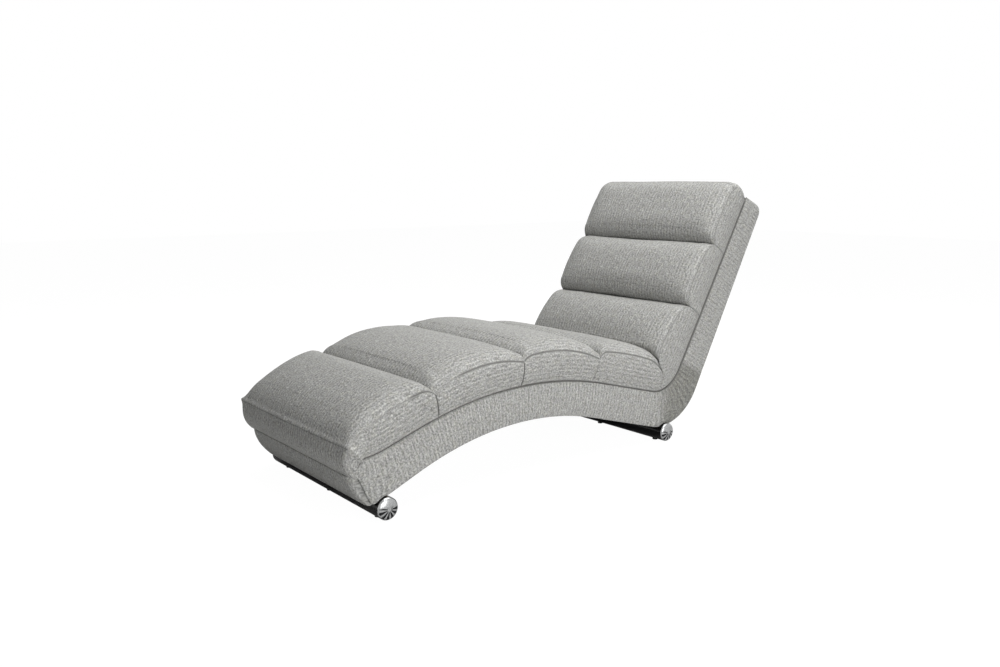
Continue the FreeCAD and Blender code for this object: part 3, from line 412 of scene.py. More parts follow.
# %% Sizes of the pads
PAD_HALF = 300.0
EDGE_RADIUS = 45.0
LIP_RADIUS = 20.0
CORNER_RADIUS = 110.0
CROSS_CROWN = 4.0
PAD_CLEAR = 0.15
FRONT_DRAW = 0.1
BED_DRAW = 3.0
HANG_SHARE = 0.7
SEAT_GROOVE = 92.0
BACK_GROOVE = 82.0
CORNER_EDGE = np.array((298.0, 314.0))
CORNER_LOW = -32.0
CORNER_BOW = 7.0
LIP_BOW = 0.18
LIP_REACH = 18.8
NOSE_EDGE = np.array((-822.0, 216.0))
NOSE_SWEEP = 3.0
BED_GAP = 0.5
SLACK = 3.0
SIDE_FROM_SEAM = np.array((0.0, 1.5, 4.0, 8.0, 14.0, 22.0, 32.0, 45.0, 70.0, 110.0, 160.0, 220.0))
STATIONS = np.concatenate([-PAD_HALF + SIDE_FROM_SEAM, [0.0], (PAD_HALF - SIDE_FROM_SEAM)[::-1]])
SIDE_ROWS = np.array((0.015, 0.05, 0.11, 0.20, 0.32, 0.46, 0.60, 0.73, 0.83, 0.91, 0.97))
RUNS = {"foot": 256.0, "calf": 303.0, "thigh": 291.0, "lumbar": 268.0, "shoulder": 227.0}
PADS = ["foot_pad", "calf_pad", "thigh_pad", "seat_pad", "lumbar_pad", "shoulder_pad", "head_pad"]
CROWNS = [126.0, 124.0, 124.0, 134.0, 157.0, 132.0, 124.0]
# the grooves wander from square: how far on each one lies in the middle and at the sides
SHIFTS = [(0.0, 0.0), (7.0, 13.0), (0.0, -6.0), (-5.0, -17.0), (0.0, -12.0), (0.0, 0.0), (0.0, 0.0),
          (0.0, 0.0)]


def roundness(edge_distance, radius):
    """Quarter ellipse from 0 at the side to 1 at the radius."""
    share = np.clip(edge_distance / radius, 0.0, 1.0)
    return np.sqrt(1.0 - (1.0 - share) ** 2)


def square_plane(s):
    """Plane square to the deck at a length: its foot and its way up."""
    point, way = along(deck, s)
    return point, np.array((-way[1], way[0]))


def plane_point(plane, shift, height):
    """Point of an end plane at a height, shifted along the deck."""
    foot, up = plane
    way = np.array((up[1], -up[0]))
    return foot + np.asarray(shift)[..., None] * way + np.asarray(height)[..., None] * up


# the last arc of the deck is the corner between seat and back
seat_middle = (deck[1][1 + 2 * ARC_STEPS] + deck[1][3 * ARC_STEPS]) / 2
corner_foot = along(deck, seat_middle)[0]
corner_plane = (corner_foot, unit(CORNER_EDGE - corner_foot))
corner_height = float(np.linalg.norm(CORNER_EDGE - corner_foot))
ends = np.cumsum([0.0, RUNS["foot"], RUNS["calf"], RUNS["thigh"]]).tolist()
ends += [seat_middle, seat_middle + RUNS["lumbar"]]
ends += [ends[-1] + RUNS["shoulder"], deck_length]


def pad_form(number):
    """Sizes of one pad: the seat pads share one set, the back pads another, and some have their own."""
    form = {
        "start": ends[number], "end": ends[number + 1], "crown": CROWNS[number],
        "front_plane": square_plane(ends[number]), "rear_plane": square_plane(ends[number + 1]),
        "front_height": SEAT_GROOVE, "rear_height": SEAT_GROOVE, "side_groove": 70.0, "side_fall": 34.0,
        "front_reach": 30.0, "front_fall": 5.0, "middle_fall": 0.0, "rear_reach": 52.0, "rear_fall": 9.0,
        "rear_draw": 0.1, "overhang": 0.0, "front_shift": SHIFTS[number], "rear_shift": SHIFTS[number + 1],
        "front_low": 0.0, "rear_low": 0.0, "front_bow": 0.0, "rear_bow": 0.0,
        "front_radius": EDGE_RADIUS, "rear_radius": EDGE_RADIUS}
    if number >= 4:
        form.update(front_height=BACK_GROOVE, rear_height=BACK_GROOVE, side_groove=76.0, side_fall=22.0)
        form.update(front_reach=37.0, front_fall=4.0, rear_reach=46.0, rear_fall=7.0)
    own = {
        "foot_pad": dict(front_reach=38.0, front_fall=18.0, rear_reach=36.0, rear_fall=1.0),
        "calf_pad": dict(front_fall=9.0),
        "seat_pad": dict(rear_plane=corner_plane, rear_height=corner_height, rear_reach=134.0, rear_fall=2.0,
                         rear_low=CORNER_LOW, rear_bow=CORNER_BOW, rear_radius=CORNER_RADIUS),
        "lumbar_pad": dict(front_plane=corner_plane, front_height=corner_height, front_reach=100.0,
                           front_fall=0.0, middle_fall=4.0, rear_fall=19.0, front_low=CORNER_LOW,
                           front_bow=CORNER_BOW, front_radius=CORNER_RADIUS),
        "head_pad": dict(rear_height=72.0, rear_reach=32.0, rear_fall=4.0, overhang=15.0, rear_draw=22.0,
                         rear_bow=6.0)}
    form.update(own.get(PADS[number], {}))
    return form


print("pad ends along the deck in mm:", [round(end) for end in ends])

# %% [markdown]
# ## A pad's section
# Seen from the side, a pad's top is an arc through three points: rise, peak and drop. At both ends another
# arc leaves it smoothly and comes down to the groove. A spline could do this too, but the solid is drawn with
# arcs. All of them are worked out for every place across the width at once.

# %% Section curves
def eased(count):
    """Shares from 0 to 1 that lie closer together towards both ends."""
    return (1 - np.cos(np.linspace(0.0, np.pi, count))) / 2


LIP_SHARES = np.concatenate([[0.0, 0.004, 0.015, 0.04], np.linspace(0.09, 1.0, 9)])
FRONT_SHARES = eased(14)
RISE_SHARES = np.linspace(0.0, 1.0, 16) ** 1.35
CROWN_SHARES = np.linspace(0.0, 1.0, 30)
FALL_SHARES = 1.0 - np.linspace(1.0, 0.0, 20) ** 1.35
REAR_SHARES = np.linspace(0.0, 1.0, 8)


def above(path, s, height):
    """Points at a height over a path, measured square to it."""
    point, way = along(path, s)
    up = np.stack([-way[..., 1], way[..., 0]], axis=-1)
    return point + up * np.asarray(height, dtype=float)[..., None]


def between(start, end, shares):
    """Points on the straights from start to end, one row for each place across the width."""
    shares = np.asarray(shares)[None, :, None]
    return start[:, None] * (1 - shares) + end[:, None] * shares


def bowed(start, end, shares, plane, bow):
    """Straights from start to end with a parabola added along the deck, as high as the bow in the middle."""
    way = np.array((plane[1][1], -plane[1][0]))
    return between(start, end, shares) + bow * (4 * shares * (1 - shares))[None, :, None] * way


def arc_points(centre, start, end, shares):
    """Points on the arcs about the centres from start to end, the short way round."""
    first = np.arctan2(*(start - centre).T[::-1])
    last = np.arctan2(*(end - centre).T[::-1])
    turn = np.angle(np.exp(1j * (last - first)))
    angle = first[:, None] + turn[:, None] * shares
    radius = np.linalg.norm(start - centre, axis=-1)[:, None, None]
    return centre[:, None] + radius * np.stack([np.cos(angle), np.sin(angle)], axis=-1)


def circle_centre(first, second, third):
    """Centres of the circles through three points: where the halving lines meet."""
    a, b = (second - first).T
    d, e = (third - first).T
    c = (np.sum(second ** 2, axis=-1) - np.sum(first ** 2, axis=-1)) / 2
    f = (np.sum(third ** 2, axis=-1) - np.sum(first ** 2, axis=-1)) / 2
    return np.stack([c * e - b * f, a * f - c * d], axis=-1) / (a * e - b * d)[:, None]


def round_off(join, centre, end, shares):
    """Arcs that leave a circle along it at the join and reach the end point."""
    out = unit(join - centre)
    reach = end - join
    radius = -np.sum(reach ** 2, axis=-1) / (2 * np.sum(reach * out, axis=-1))
    return arc_points(join - out * radius[:, None], join, end, shares)


def nose_front(x):
    """Lip of the foot pad: forward under the frame's front face, then bowed up to the nose edge."""
    share = roundness(PAD_HALF - np.abs(x), LIP_RADIUS)
    root = np.repeat(front_line(LIP_BOTTOM)[None], len(x), axis=0)
    low = root - np.stack([LIP_REACH * (0.45 + 0.55 * share), np.zeros_like(share)], axis=-1)
    edge = NOSE_EDGE + np.stack([NOSE_SWEEP * (x / PAD_HALF) ** 2, np.zeros_like(x)], axis=-1)
    chord = edge - low
    length = np.linalg.norm(chord, axis=-1, keepdims=True)
    out = np.stack([-chord[:, 1], chord[:, 0]], axis=-1) / length
    middle = (low + edge) / 2 + out * length * LIP_BOW * (0.3 + 0.7 * share)[:, None]
    lip = arc_points(circle_centre(low, middle, edge), low, edge, LIP_SHARES)
    return np.concatenate([between(root, low, (0.0, 0.6, 0.97)), lip], axis=1), edge


def groove_height(form, end, x):
    """Height of the groove at one end: a quarter ellipse from the sides to the middle."""
    share = roundness(PAD_HALF - np.abs(x), form[end + "_radius"])
    return form["side_groove"] + (form[end + "_height"] - form["side_groove"]) * share


def pad_ends(form, x):
    """Roundness at every x, how far both ends stand in from their planes, and where they meet the deck."""
    share = roundness(PAD_HALF - np.abs(x), EDGE_RADIUS)
    front_shift, rear_shift = (middle + (side - middle) * (1 - share)
                               for middle, side in (form["front_shift"], form["rear_shift"]))
    front_in = PAD_CLEAR + FRONT_DRAW * (1 - share) + front_shift
    rear_in = PAD_CLEAR + form["rear_draw"] * (1 - share) - rear_shift
    first = form["start"] + front_in + form["front_low"]
    bed_in = PAD_CLEAR + min(form["rear_draw"], BED_DRAW) * (1 - share) - rear_shift
    last = form["end"] - bed_in + form["rear_low"] - HANG_SHARE * form["overhang"]
    return share, front_in, rear_in, first, last


def pad_section(form, x):
    """Section of a pad at every x: up the front plane or the lip, over the crown and down the rear plane.
    Towards the sides the crown falls along a quarter ellipse and the ends draw in."""
    share, front_in, rear_in, first, last = pad_ends(form, x)
    dome = CROSS_CROWN * (1.0 - (x / PAD_HALF) ** 2)
    side_crown = form["crown"] - form["side_fall"]
    crown = side_crown + (form["side_fall"] - CROSS_CROWN) * share + dome - SLACK * share
    rise_at = form["start"] + front_in + form["front_reach"]
    drop_at = form["end"] - rear_in - form["rear_reach"]
    rise = above(deck, rise_at, crown - form["front_fall"])
    peak = above(deck, (rise_at + drop_at) / 2, crown - form["middle_fall"])
    drop = above(deck, drop_at, crown - form["rear_fall"])
    centre = circle_centre(rise, peak, drop)
    if form["start"] == 0.0:
        front, front_top = nose_front(x)
    else:
        front_top = plane_point(form["front_plane"], front_in, groove_height(form, "front", x))
        front_low = above(deck, first, BED_GAP)
        front = bowed(front_low, front_top, FRONT_SHARES, form["front_plane"], form["front_bow"])
    rear_top = plane_point(form["rear_plane"], form["overhang"] - rear_in, groove_height(form, "rear", x))
    rear_low = above(deck, last, BED_GAP)
    up = round_off(rise, centre, front_top, RISE_SHARES[::-1])
    over = arc_points(centre, rise, drop, CROWN_SHARES)
    down = round_off(drop, centre, rear_top, FALL_SHARES)
    back = bowed(rear_top, rear_low, REAR_SHARES, form["rear_plane"], form["rear_bow"])
    parts = [front, up[:, 1:], over[:, 1:], down[:, 1:], back[:, 1:]]
    breaks = np.cumsum([part.shape[1] for part in parts]) - 1
    return np.concatenate(parts, axis=1), breaks


forms = {name: pad_form(number) for number, name in enumerate(PADS)}
print("points in the foot pad's section:", pad_section(forms["foot_pad"], STATIONS)[0].shape[1])

# %% [markdown]
# ## A pad as a closed form
# Each row of the section becomes a ring: across the top, down the right side strip, back along the bed and up
# the left side strip. At both ends the ring closes to a line. The side strip bulges a little and rolls in
# where it meets the frame, and so do the pad's ends, which leaves a dark line along the whole frame.

# %% Rings
SIDE_BULGE = 5.0
TUCK = 14.5
TUCK_CURVE = 2.4
RIM_FROM = 295.0
END_ROWS = 8.0
LIP_ROWS = 20.0


def soft_step(share):
    """Smooth rise from 0 to 1."""
    share = np.clip(share, 0.0, 1.0)
    return share * share * (3 - 2 * share)


def in_space(x, flat):
    """Points in space from places across the width and points of the side view."""
    return np.concatenate([x[..., None], flat], axis=-1)


def bed_path(form):
    """Line that the pad rests on: the deck, and for the foot pad the frame's front face before it."""
    if form["start"] == 0.0:
        points = np.concatenate([front_line(LIP_BOTTOM)[None], deck[0]])
        lengths = np.concatenate([[0.0], deck[1] + np.linalg.norm(points[1] - points[0])])
        return (points, lengths), lengths[1]
    return deck, 0.0


def bed_shares(middle, path, start, end):
    """How far along the bed each row stands: half its nearest place, evened out, and half its row number."""
    s = np.linspace(start, end, 400)
    gaps = np.linalg.norm(middle[:, None] - along(path, s)[0][None], axis=-1)
    nearest = np.maximum.accumulate((s[gaps.argmin(axis=1)] - start) / (end - start))
    evened = np.convolve(np.pad(nearest, 6, mode="edge"), np.full(13, 1 / 13), mode="valid")
    shares = 0.5 * evened + 0.5 * np.linspace(0.0, 1.0, len(middle))
    return (shares - shares[0]) / (shares[-1] - shares[0])


def pad_bed(form, x, top):
    """Points below each row of the section, on the deck or on the side covers' top edge at the lip's rim."""
    path, lead = bed_path(form)
    first, last = pad_ends(form, x)[3:]
    first = 0.0 * first if lead else first
    middle = len(x) // 2
    shares = bed_shares(top[middle], path, first[middle], last[middle] + lead)
    s = first[:, None] * (1 - shares) + (last[:, None] + lead) * shares
    bed = above(path, s, BED_GAP)
    if lead:
        rim = np.abs(x) > RIM_FROM
        edge = last[rim, None] + cover_top[1][-1] - deck_length
        bed[rim] = above(cover_top, edge * shares, BED_GAP)
    bed[:, 0] = top[:, 0]
    bed[:, -1] = top[:, -1]
    return bed, lead > 0.0


def pad_rings(form):
    """Closed grid of a pad in mm, its thread places, and where the section's parts end."""
    x = STATIONS
    top, breaks = pad_section(form, x)
    bed, lip = pad_bed(form, x, top)
    number = np.arange(top.shape[1])
    taper = soft_step(number / (LIP_ROWS if lip else END_ROWS)) * soft_step(number[::-1] / END_ROWS)
    tuck = TUCK * (soft_step(number / LIP_ROWS) if lip else np.ones(len(number)))
    low = np.zeros(len(number))
    if not lip:
        low[:len(FRONT_SHARES)] = 1.0 - FRONT_SHARES
    low[-len(REAR_SHARES):] = REAR_SHARES
    depth = low[:, None] + (1 - low[:, None]) * SIDE_ROWS
    bulge = taper[:, None] * SIDE_BULGE * np.sin(np.pi * SIDE_ROWS) ** 0.8
    strip = between(top[-1], bed[-1], SIDE_ROWS)
    strip_x = PAD_HALF + bulge - tuck[:, None] * depth ** TUCK_CURVE
    right = in_space(strip_x, strip)
    left = right * np.array((-1.0, 1.0, 1.0))
    top_x = x[None] * (1.0 - (tuck * low ** TUCK_CURVE)[:, None] / PAD_HALF)
    bed_x = x[None] * (1.0 - tuck[:, None] / PAD_HALF)
    over = in_space(top_x, top.transpose(1, 0, 2))
    below = in_space(bed_x, bed.transpose(1, 0, 2))
    grid = np.concatenate([over, right, below[:, ::-1], left[:, ::-1]], axis=1)
    return grid, pad_threads(grid, len(x), strip, top[-1]), breaks


def side_places(flat):
    """Places on a side's cloth: the nearest deck length, carried on past the ends, and the distance."""
    s = np.linspace(0.0, deck_length, 1200)
    points, ways = along(deck, s)
    gaps = np.linalg.norm(flat[:, :, None] - points, axis=-1)
    nearest = gaps.argmin(axis=-1)
    onward = np.sum((flat - points[nearest]) * ways[nearest], axis=-1)
    return s[nearest] + onward, gaps.min(axis=-1)


def pad_threads(grid, top_count, strip, seam_line):
    """Thread places: along the pad by the middle section's length and across it from the middle line, or on
    a strip by the deck, and the distance from the boxing seam, negative below it."""
    rows = len(grid)
    down = np.linalg.norm(strip - seam_line[:, None], axis=-1)
    strip_along, strip_height = side_places(strip)
    flat = np.repeat(STATIONS[None], rows, axis=0)
    cloth = running_length(grid[rows // 2, :top_count])
    cloth = np.repeat((cloth - cloth[-1] / 2)[None], rows, axis=0)
    lengths = np.repeat(running_length(grid[:, top_count // 2])[:, None], top_count, axis=1)
    across = np.concatenate([cloth, PAD_HALF + strip_height, flat, -PAD_HALF - strip_height[:, ::-1]], axis=1)
    onward = np.concatenate([lengths, strip_along, lengths, strip_along[:, ::-1]], axis=1)
    from_seam = PAD_HALF - np.abs(flat)
    seam = np.concatenate([from_seam, -down, np.full_like(flat, -FAR), -down[:, ::-1]], axis=1)
    return np.stack([onward, across, seam], axis=-1)


rings = {name: pad_rings(form) for name, form in forms.items()}
print("rows and points round each pad:", {name: ring[0].shape[:2] for name, ring in rings.items()})

# %% [markdown]
# ## Air in the pads
# Foam presses the cover out between its seams. Cloth with pressure shows how: a coarse copy of each pad is
# held along its bed, its ends and its boxing seams, and blown up for twenty frames. How far each point moved
# is capped and carried over to the fine grid by weights that fade with the distance in rows and columns.

# %% Cloth pressure
SWELL_CAP = 8.0
PRESSURE = 4.0
FRAMES = 20
ROW_STEP = 3
COLUMN_REACH = 1.6
TOP_PICK = np.array((0, 3, 5, 7, 8, 9, 10, 11, 12, 13, 14, 15, 16, 17, 19, 21, 24))
STRIP_PICK = np.arange(1, len(SIDE_ROWS), 3)


def coarse_columns():
    """Columns of the coarse copy: some of the top, every third of a strip, and some of the bed."""
    top = len(STATIONS)
    side = len(SIDE_ROWS)
    return np.concatenate([TOP_PICK, top + STRIP_PICK, top + side + TOP_PICK, 2 * top + side + STRIP_PICK])


def blow_up(name, grid):
    """Cloth object of the coarse copy with its held points."""
    body, first, where = grid_object(name, grid, True)
    held = np.ones(grid.shape[:2], dtype=bool)
    held[2:-2, 1:len(TOP_PICK) - 1] = False
    held[2:-2, len(TOP_PICK):len(TOP_PICK) + len(STRIP_PICK)] = False
    held[2:-2, -len(STRIP_PICK):] = False
    body.vertex_groups.new(name="held").add(np.unique(where[held.ravel()]).tolist(), 1.0, "REPLACE")
    cloth = body.modifiers.new("cloth", "CLOTH")
    cloth.settings.vertex_group_mass = "held"
    cloth.settings.use_pressure = True
    cloth.settings.uniform_pressure_force = PRESSURE
    cloth.settings.effector_weights.gravity = 0.0
    cloth.point_cache.frame_start = 1
    cloth.point_cache.frame_end = FRAMES
    return body, first, where


def carry_weights(fine, coarse, width):
    """Weights from coarse to fine places that fade as a bell curve and add up to one."""
    weights = np.exp(-((fine[:, None] - coarse[None]) / width) ** 2)
    return weights / weights.sum(axis=1, keepdims=True)


def swell(grids):
    """Moves of every fine grid's points in mm after twenty frames of pressure."""
    columns = coarse_columns()
    picks = {name: np.unique(np.append(np.arange(0, len(grid), ROW_STEP), len(grid) - 1))
             for name, grid in grids.items()}
    bodies = {name: blow_up(name + "_air", grid[picks[name]][:, columns]) for name, grid in grids.items()}
    for number in range(1, FRAMES + 1):
        bpy.context.scene.frame_set(number)
    view = bpy.context.evaluated_depsgraph_get()
    moves = {}
    for name, (body, first, where) in bodies.items():
        rest = grids[name][picks[name]][:, columns].reshape(-1, 3)
        blown = np.empty(len(first) * 3, dtype=np.float32)
        body.evaluated_get(view).data.vertices.foreach_get("co", blown)
        move = blown.reshape(-1, 3)[where] * 1000 - rest
        length = np.linalg.norm(move, axis=1, keepdims=True)
        move *= np.minimum(1.0, SWELL_CAP / np.maximum(length, 1e-6))
        move = move.reshape(len(picks[name]), len(columns), 3)
        rows = carry_weights(np.arange(len(grids[name])), picks[name], ROW_STEP)
        round_it = carry_weights(np.arange(grids[name].shape[1]), columns, COLUMN_REACH)
        moves[name] = np.einsum("ij,jkl,mk->iml", rows, move, round_it)
        print(name, "swells by up to", round(float(np.linalg.norm(moves[name], axis=-1).max()), 1), "mm")
        mesh = body.data
        bpy.data.objects.remove(body)
        bpy.data.meshes.remove(mesh)
    bpy.context.scene.frame_set(1)
    return moves


moves = {name: 0.0 for name in PADS}
moves = swell({name: ring[0] for name, ring in rings.items()})

# %% [markdown]
# ## Seams and settling
# The swelling fades out towards the grooves, where the cover is sewn down. Then the sewn details go in: a
# narrow dip along each boxing seam, a raised welt with small ears on the front edge of the nose, slight
# unevenness of the foam, and puckers where the cover dives into a groove. Each pad's first and last row stay
# where they are, so the ends stay shut. Dark lines of painted shade show where the seat pads' side strips
# butt, and the welt's seam line is drawn with painted shadow below its ridge.

# %% Sewn details
SEAM_DIP = 1.0
SEAM_WIDTH = 2.5
TOP_FROM = 30.0
FOAM_WAVES = (1.1, 0.8)
WELT = 5.0
WELT_WIDTH = 3.5
EAR = 8.0
EAR_WIDTH = 16.0
EAR_FROM = 200.0
PUCKER = 1.2
PUCKER_REACH = 22.0
FREE_ROWS = 22.0
# lines across a pad's top: the head pad's seam, and the foot pad's welt seam with painted shadow under its
# ridge
CROSS_SEAM_AND_SHADOW = {"foot_pad": (0, 4.0), "head_pad": (3, 33.0)}
FADE_REACH = 4.0
SEAM_SHOWS_FROM = {"foot_pad": (0.50, 0.80), "calf_pad": (0.05, 0.35)}
SEAM_FAINT = {"lumbar_pad": 0.12, "shoulder_pad": 0.12, "head_pad": 0.12}
JOIN_SHADE = 0.6
JOIN_FAINT = (0.0, 0.0, 0.0, 1.7)


def join_shade(number, threads):
    """Distances from the joins between the seat pads, where the strips butt, for lines of painted shade in
    the gaps.
    """
    gap = np.full(threads.shape[:2], FAR)
    for end in (number, number + 1):
        if 1 <= end <= 3:
            place = ends[end] + SHIFTS[end][1]
            gap = np.minimum(gap, np.hypot(threads[..., 0] - place, JOIN_FAINT[end]))
    gap[:, :len(STATIONS)] = FAR
    return JOIN_SHADE * gap


def seam_fade(name, threads, breaks):
    """How much of the boxing seam is lost in the roll of the cover, 0 to 1, row by row."""
    length = threads[:, 0, 0]
    share = (length - length[breaks[0]]) / (length[breaks[3]] - length[breaks[0]])
    start, full = SEAM_SHOWS_FROM.get(name, (-2.0, -1.0))
    shown = soft_step((share - start) / (full - start))
    number = np.arange(len(threads))
    inside = (number > breaks[0]) & (number < breaks[3])
    return np.maximum(np.where(inside, 1.0 - shown, 1.0), SEAM_FAINT.get(name, 0.0))[:, None]


def outward_normals(grid, row):
    """Unit normals of a pad's grid: the way to the next column crossed with the way to the next row, turned
    so that the top's middle in one row points away from the bed."""
    round_it = np.roll(grid, -1, axis=1) - np.roll(grid, 1, axis=1)
    normals = unit(np.cross(round_it, np.gradient(grid, axis=0)))
    middle = len(STATIONS) // 2
    up = grid[row, middle] - grid[row, len(STATIONS) * 3 // 2 + len(SIDE_ROWS)]
    return normals * np.sign(normals[row, middle] @ up)


def settle(number, grid, threads, breaks, fade):
    """Moves along the normals: minus a bell curve at the boxing seam, plus soft waves of the foam and
    short puckers that fade with the distance from the grooves."""
    normals = outward_normals(grid, breaks[2] - 10)
    length, across, seam = np.moveaxis(threads, -1, 0)
    move = -SEAM_DIP * np.exp(-(seam / SEAM_WIDTH) ** 2) * (1 - fade)
    top = np.clip(seam / TOP_FROM, 0.0, 1.0)
    wide = np.sin(across / 57.0 + 1.7 * number) * np.sin(length / 43.0 + 0.6 * number)
    slanting = np.sin(across / 27.0 + length / 61.0 + 2.3 * number)
    move += top * FOAM_WAVES[0] * wide
    move += top * FOAM_WAVES[1] * slanting
    run = length[:, :1]
    groove = np.minimum(run - run[breaks[0]], run[breaks[3]] - run)
    pucker = PUCKER * np.exp(-(groove / PUCKER_REACH) ** 2)
    move += top * pucker * np.sin(across / 9.5 + 2.0 * np.sin(across / 41.0 + number))
    if number == 0:
        edge = run - run[breaks[0]]
        move += WELT * np.exp(-(edge / WELT_WIDTH) ** 2) * (seam > -0.9 * FAR)
        ear = EAR / PAD_HALF * np.exp(-(edge / EAR_WIDTH) ** 2)
        grid[..., 0] *= 1.0 + ear * (np.abs(across) > EAR_FROM)
    move[[0, -1]] = 0.0
    return grid + normals * move[..., None]


for number, name in enumerate(PADS):
    grid, threads, breaks = rings[name]
    fade = seam_fade(name, threads, breaks)
    row = np.arange(len(grid))
    free = soft_step((row - breaks[0]) / FREE_ROWS) * soft_step((breaks[3] - row) / FREE_ROWS)
    shaped = settle(number, grid + moves[name] * free[:, None, None], threads, breaks, fade)
    threads[..., 2] = np.abs(threads[..., 2]) + FADE_REACH * fade
    cross = join_shade(number, threads)
    if name in CROSS_SEAM_AND_SHADOW:
        end, offset = CROSS_SEAM_AND_SHADOW[name]
        run = threads[:, :1, 0]
        cross[:, :len(STATIONS)] = run - run[breaks[end]] + offset
    pad = make_piece(name + "_sewn", shaped, True, threads, cross)
    finish_piece(pad, weave_finish, [name], smooth=1)

# %% [markdown]
# ## The covered sides
# Each side of the frame is a board under thin wadding and the same cloth. A flat plate would show hard edges,
# so the side is two sheets that meet on the outline and part along a quarter ellipse, like a thin pillow.
# The cloth's ribs run across the band. A dark line along its top edge is a hem and painted shade of the
# crease under the pads. A seam crosses it behind the seat, and below the seam the cloth is painted darker, as
# shade where the nap turns away from the light.

# %% Side covers
COVER_FACE = 290.0
COVER_INSIDE = 282.0
EDGE_ROUND = 11.0
SIDE_PILLOW = 5.0
PUFF_REACH = 60.0
TUBE_CENTRES = ((-708.0, 34.5), (354.0, 34.5))
TUBE_ROOM = 30.0
HEEL_SEAM = np.array(((442.0, 262.0), (544.0, 213.0)))
HEEL_FROM = 380.0
HEEL_REACH = 90.0
HEEL_DIP = 1.0
HEEL_WIDTH = 6.0
# painted shade: below the heel seam the cloth is darker, where the nap turns away from the light
HEEL_SHADE = (295.0, 80.0)
HEEL_SHADE_FADE = 34.0
# the dark hem line along the top edge is also painted shade of the crease under the pads, fainter at the
# front
HEM_SHADE_WIDTH = 3.0
HEM_SHADE_FULL_FROM = -150.0
HEM_SHADE_FADE = 300.0
FAINT_SEAM = 0.9


def clear_of_tubes(points):
    """Points inside a foot tube's room move out to its rim, away from its middle."""
    for centre in TUBE_CENTRES:
        away = points - np.array(centre)
        gap = np.linalg.norm(away, axis=-1, keepdims=True)
        rim = np.array(centre) + unit(away) * (TUBE_ROOM + 0.02 * gap)
        points = np.where(gap < TUBE_ROOM, rim, points)
    return points


def band_grid(rows, columns):
    """Flat grid between the deck and the way round below it, with equal shares of both lengths."""
    share = np.linspace(0.0, 1.0, rows)
    top = along(cover_top, share * cover_top[1][-1])[0]
    low = along(cover_low, share * cover_low[1][-1])[0]
    return clear_of_tubes(between(top, low, eased(columns)))


def edge_gap(points):
    """Distance of every point of a band to the nearest point of its two long edges, 0 on the rim."""
    outline = np.concatenate([points[:, 0], points[:, -1]])
    gap = np.linalg.norm(points.reshape(-1, 2)[:, None] - outline[None], axis=-1).min(axis=1)
    gap = gap.reshape(points.shape[:2])
    gap[:, [0, -1]] = 0.0
    gap[[0, -1]] = 0.0
    return gap


def line_distance(points, line):
    """Signed distance from the straight through two points."""
    way = unit(line[1] - line[0])
    offset = points - line[0]
    return offset[..., 0] * -way[1] + offset[..., 1] * way[0]


def puffed(gap):
    """Parabola that rises from 0 at the edge to 1 at the puff's reach."""
    share = np.clip(gap / PUFF_REACH, 0.0, 1.0)
    return share * (2 - share)


def plain_thread(onward, across):
    """Thread places of a cloth without a seam."""
    return np.stack([onward, across, np.full_like(across, FAR)], axis=-1)


def there_and_back(values):
    """Values of a front sheet, and of the sheet behind it read backwards."""
    return np.concatenate([values, values[:, ::-1]], axis=1)


def side_cover(name, side):
    """Two sheets x = middle plus and minus half the thickness times a quarter ellipse of the edge gap."""
    flat = band_grid(260, 29)
    y, z = np.moveaxis(flat, -1, 0)
    gap = edge_gap(flat)
    middle = (COVER_FACE + COVER_INSIDE) / 2
    half = (COVER_FACE - COVER_INSIDE) / 2 * roundness(gap, EDGE_ROUND)
    heel = line_distance(flat, HEEL_SEAM)
    # painted shade of the heel panel below the seam, fading in along the band and away from the seam
    painted_nap_shade = soft_step((y - HEEL_SHADE[0]) / HEEL_SHADE[1]) * soft_step((HEEL_WIDTH - heel) / HEEL_SHADE_FADE)
    near_heel = (np.abs(z - HEEL_SEAM[:, 1].mean()) < HEEL_REACH) & (y > HEEL_FROM)
    heel = np.where(near_heel, heel, FAR)
    outer = middle + half + SIDE_PILLOW * puffed(gap) - HEEL_DIP * np.exp(-(heel / HEEL_WIDTH) ** 2)
    sheets = [in_space(side * x, flat) for x in (outer, middle - half)]
    grid = np.concatenate([sheets[0], sheets[1][:, ::-1]], axis=1)
    length, height = side_places(flat)
    thread = plain_thread(height, length)
    width = np.linalg.norm(flat - flat[:, :1], axis=-1)
    # painted shade: a dark line along the top edge for the hem and the shaded crease under the pads
    light = FAINT_SEAM * soft_step((HEM_SHADE_FULL_FROM - y) / HEM_SHADE_FADE)
    hem_and_shade = np.hypot(np.maximum(width - HEM_SHADE_WIDTH, 0.0), light)
    # distances for the heel seam and for the painted shade line along the top edge
    seam = np.minimum(np.hypot(heel, FAINT_SEAM), hem_and_shade)
    piece = make_piece(name + "_padded", grid, True, *(there_and_back(part) for part in (thread, seam, painted_nap_shade)))
    finish_piece(piece, weave_finish, [name], smooth=1)


side_cover("side_cover_right", 1.0)
side_cover("side_cover_left", -1.0)

# %% [markdown]
# ## The covered front and back
# Between the sides the cloth goes over the front under the nose, and round the heel and up the back. Both are
# shells: an outer sheet that swells a little between the seams, and an inner sheet behind it. The front is
# crowned across the width as its solid is, and turns tightly into the sides.

# %% Shells across the width
NOSE_BULGE = 20.0
NOSE_ROUND = 11.0
NOSE_EDGE_RADIUS = 22.0
NOSE_DEEP = 21.0
NOSE_LOW = 46.3
NOSE_HIGH = 132.2
NOSE_HALF = COVER_INSIDE - 0.4
TUBE_RISE = 70.0
BACK_HALF = COVER_INSIDE - 0.3
BACK_FROM = 392.0
BACK_DEEP = 8.0
BACK_PUFF = 3.0
BACK_ROUND = 6.0
ACROSS = np.sin(np.linspace(-np.pi / 2, np.pi / 2, 61))


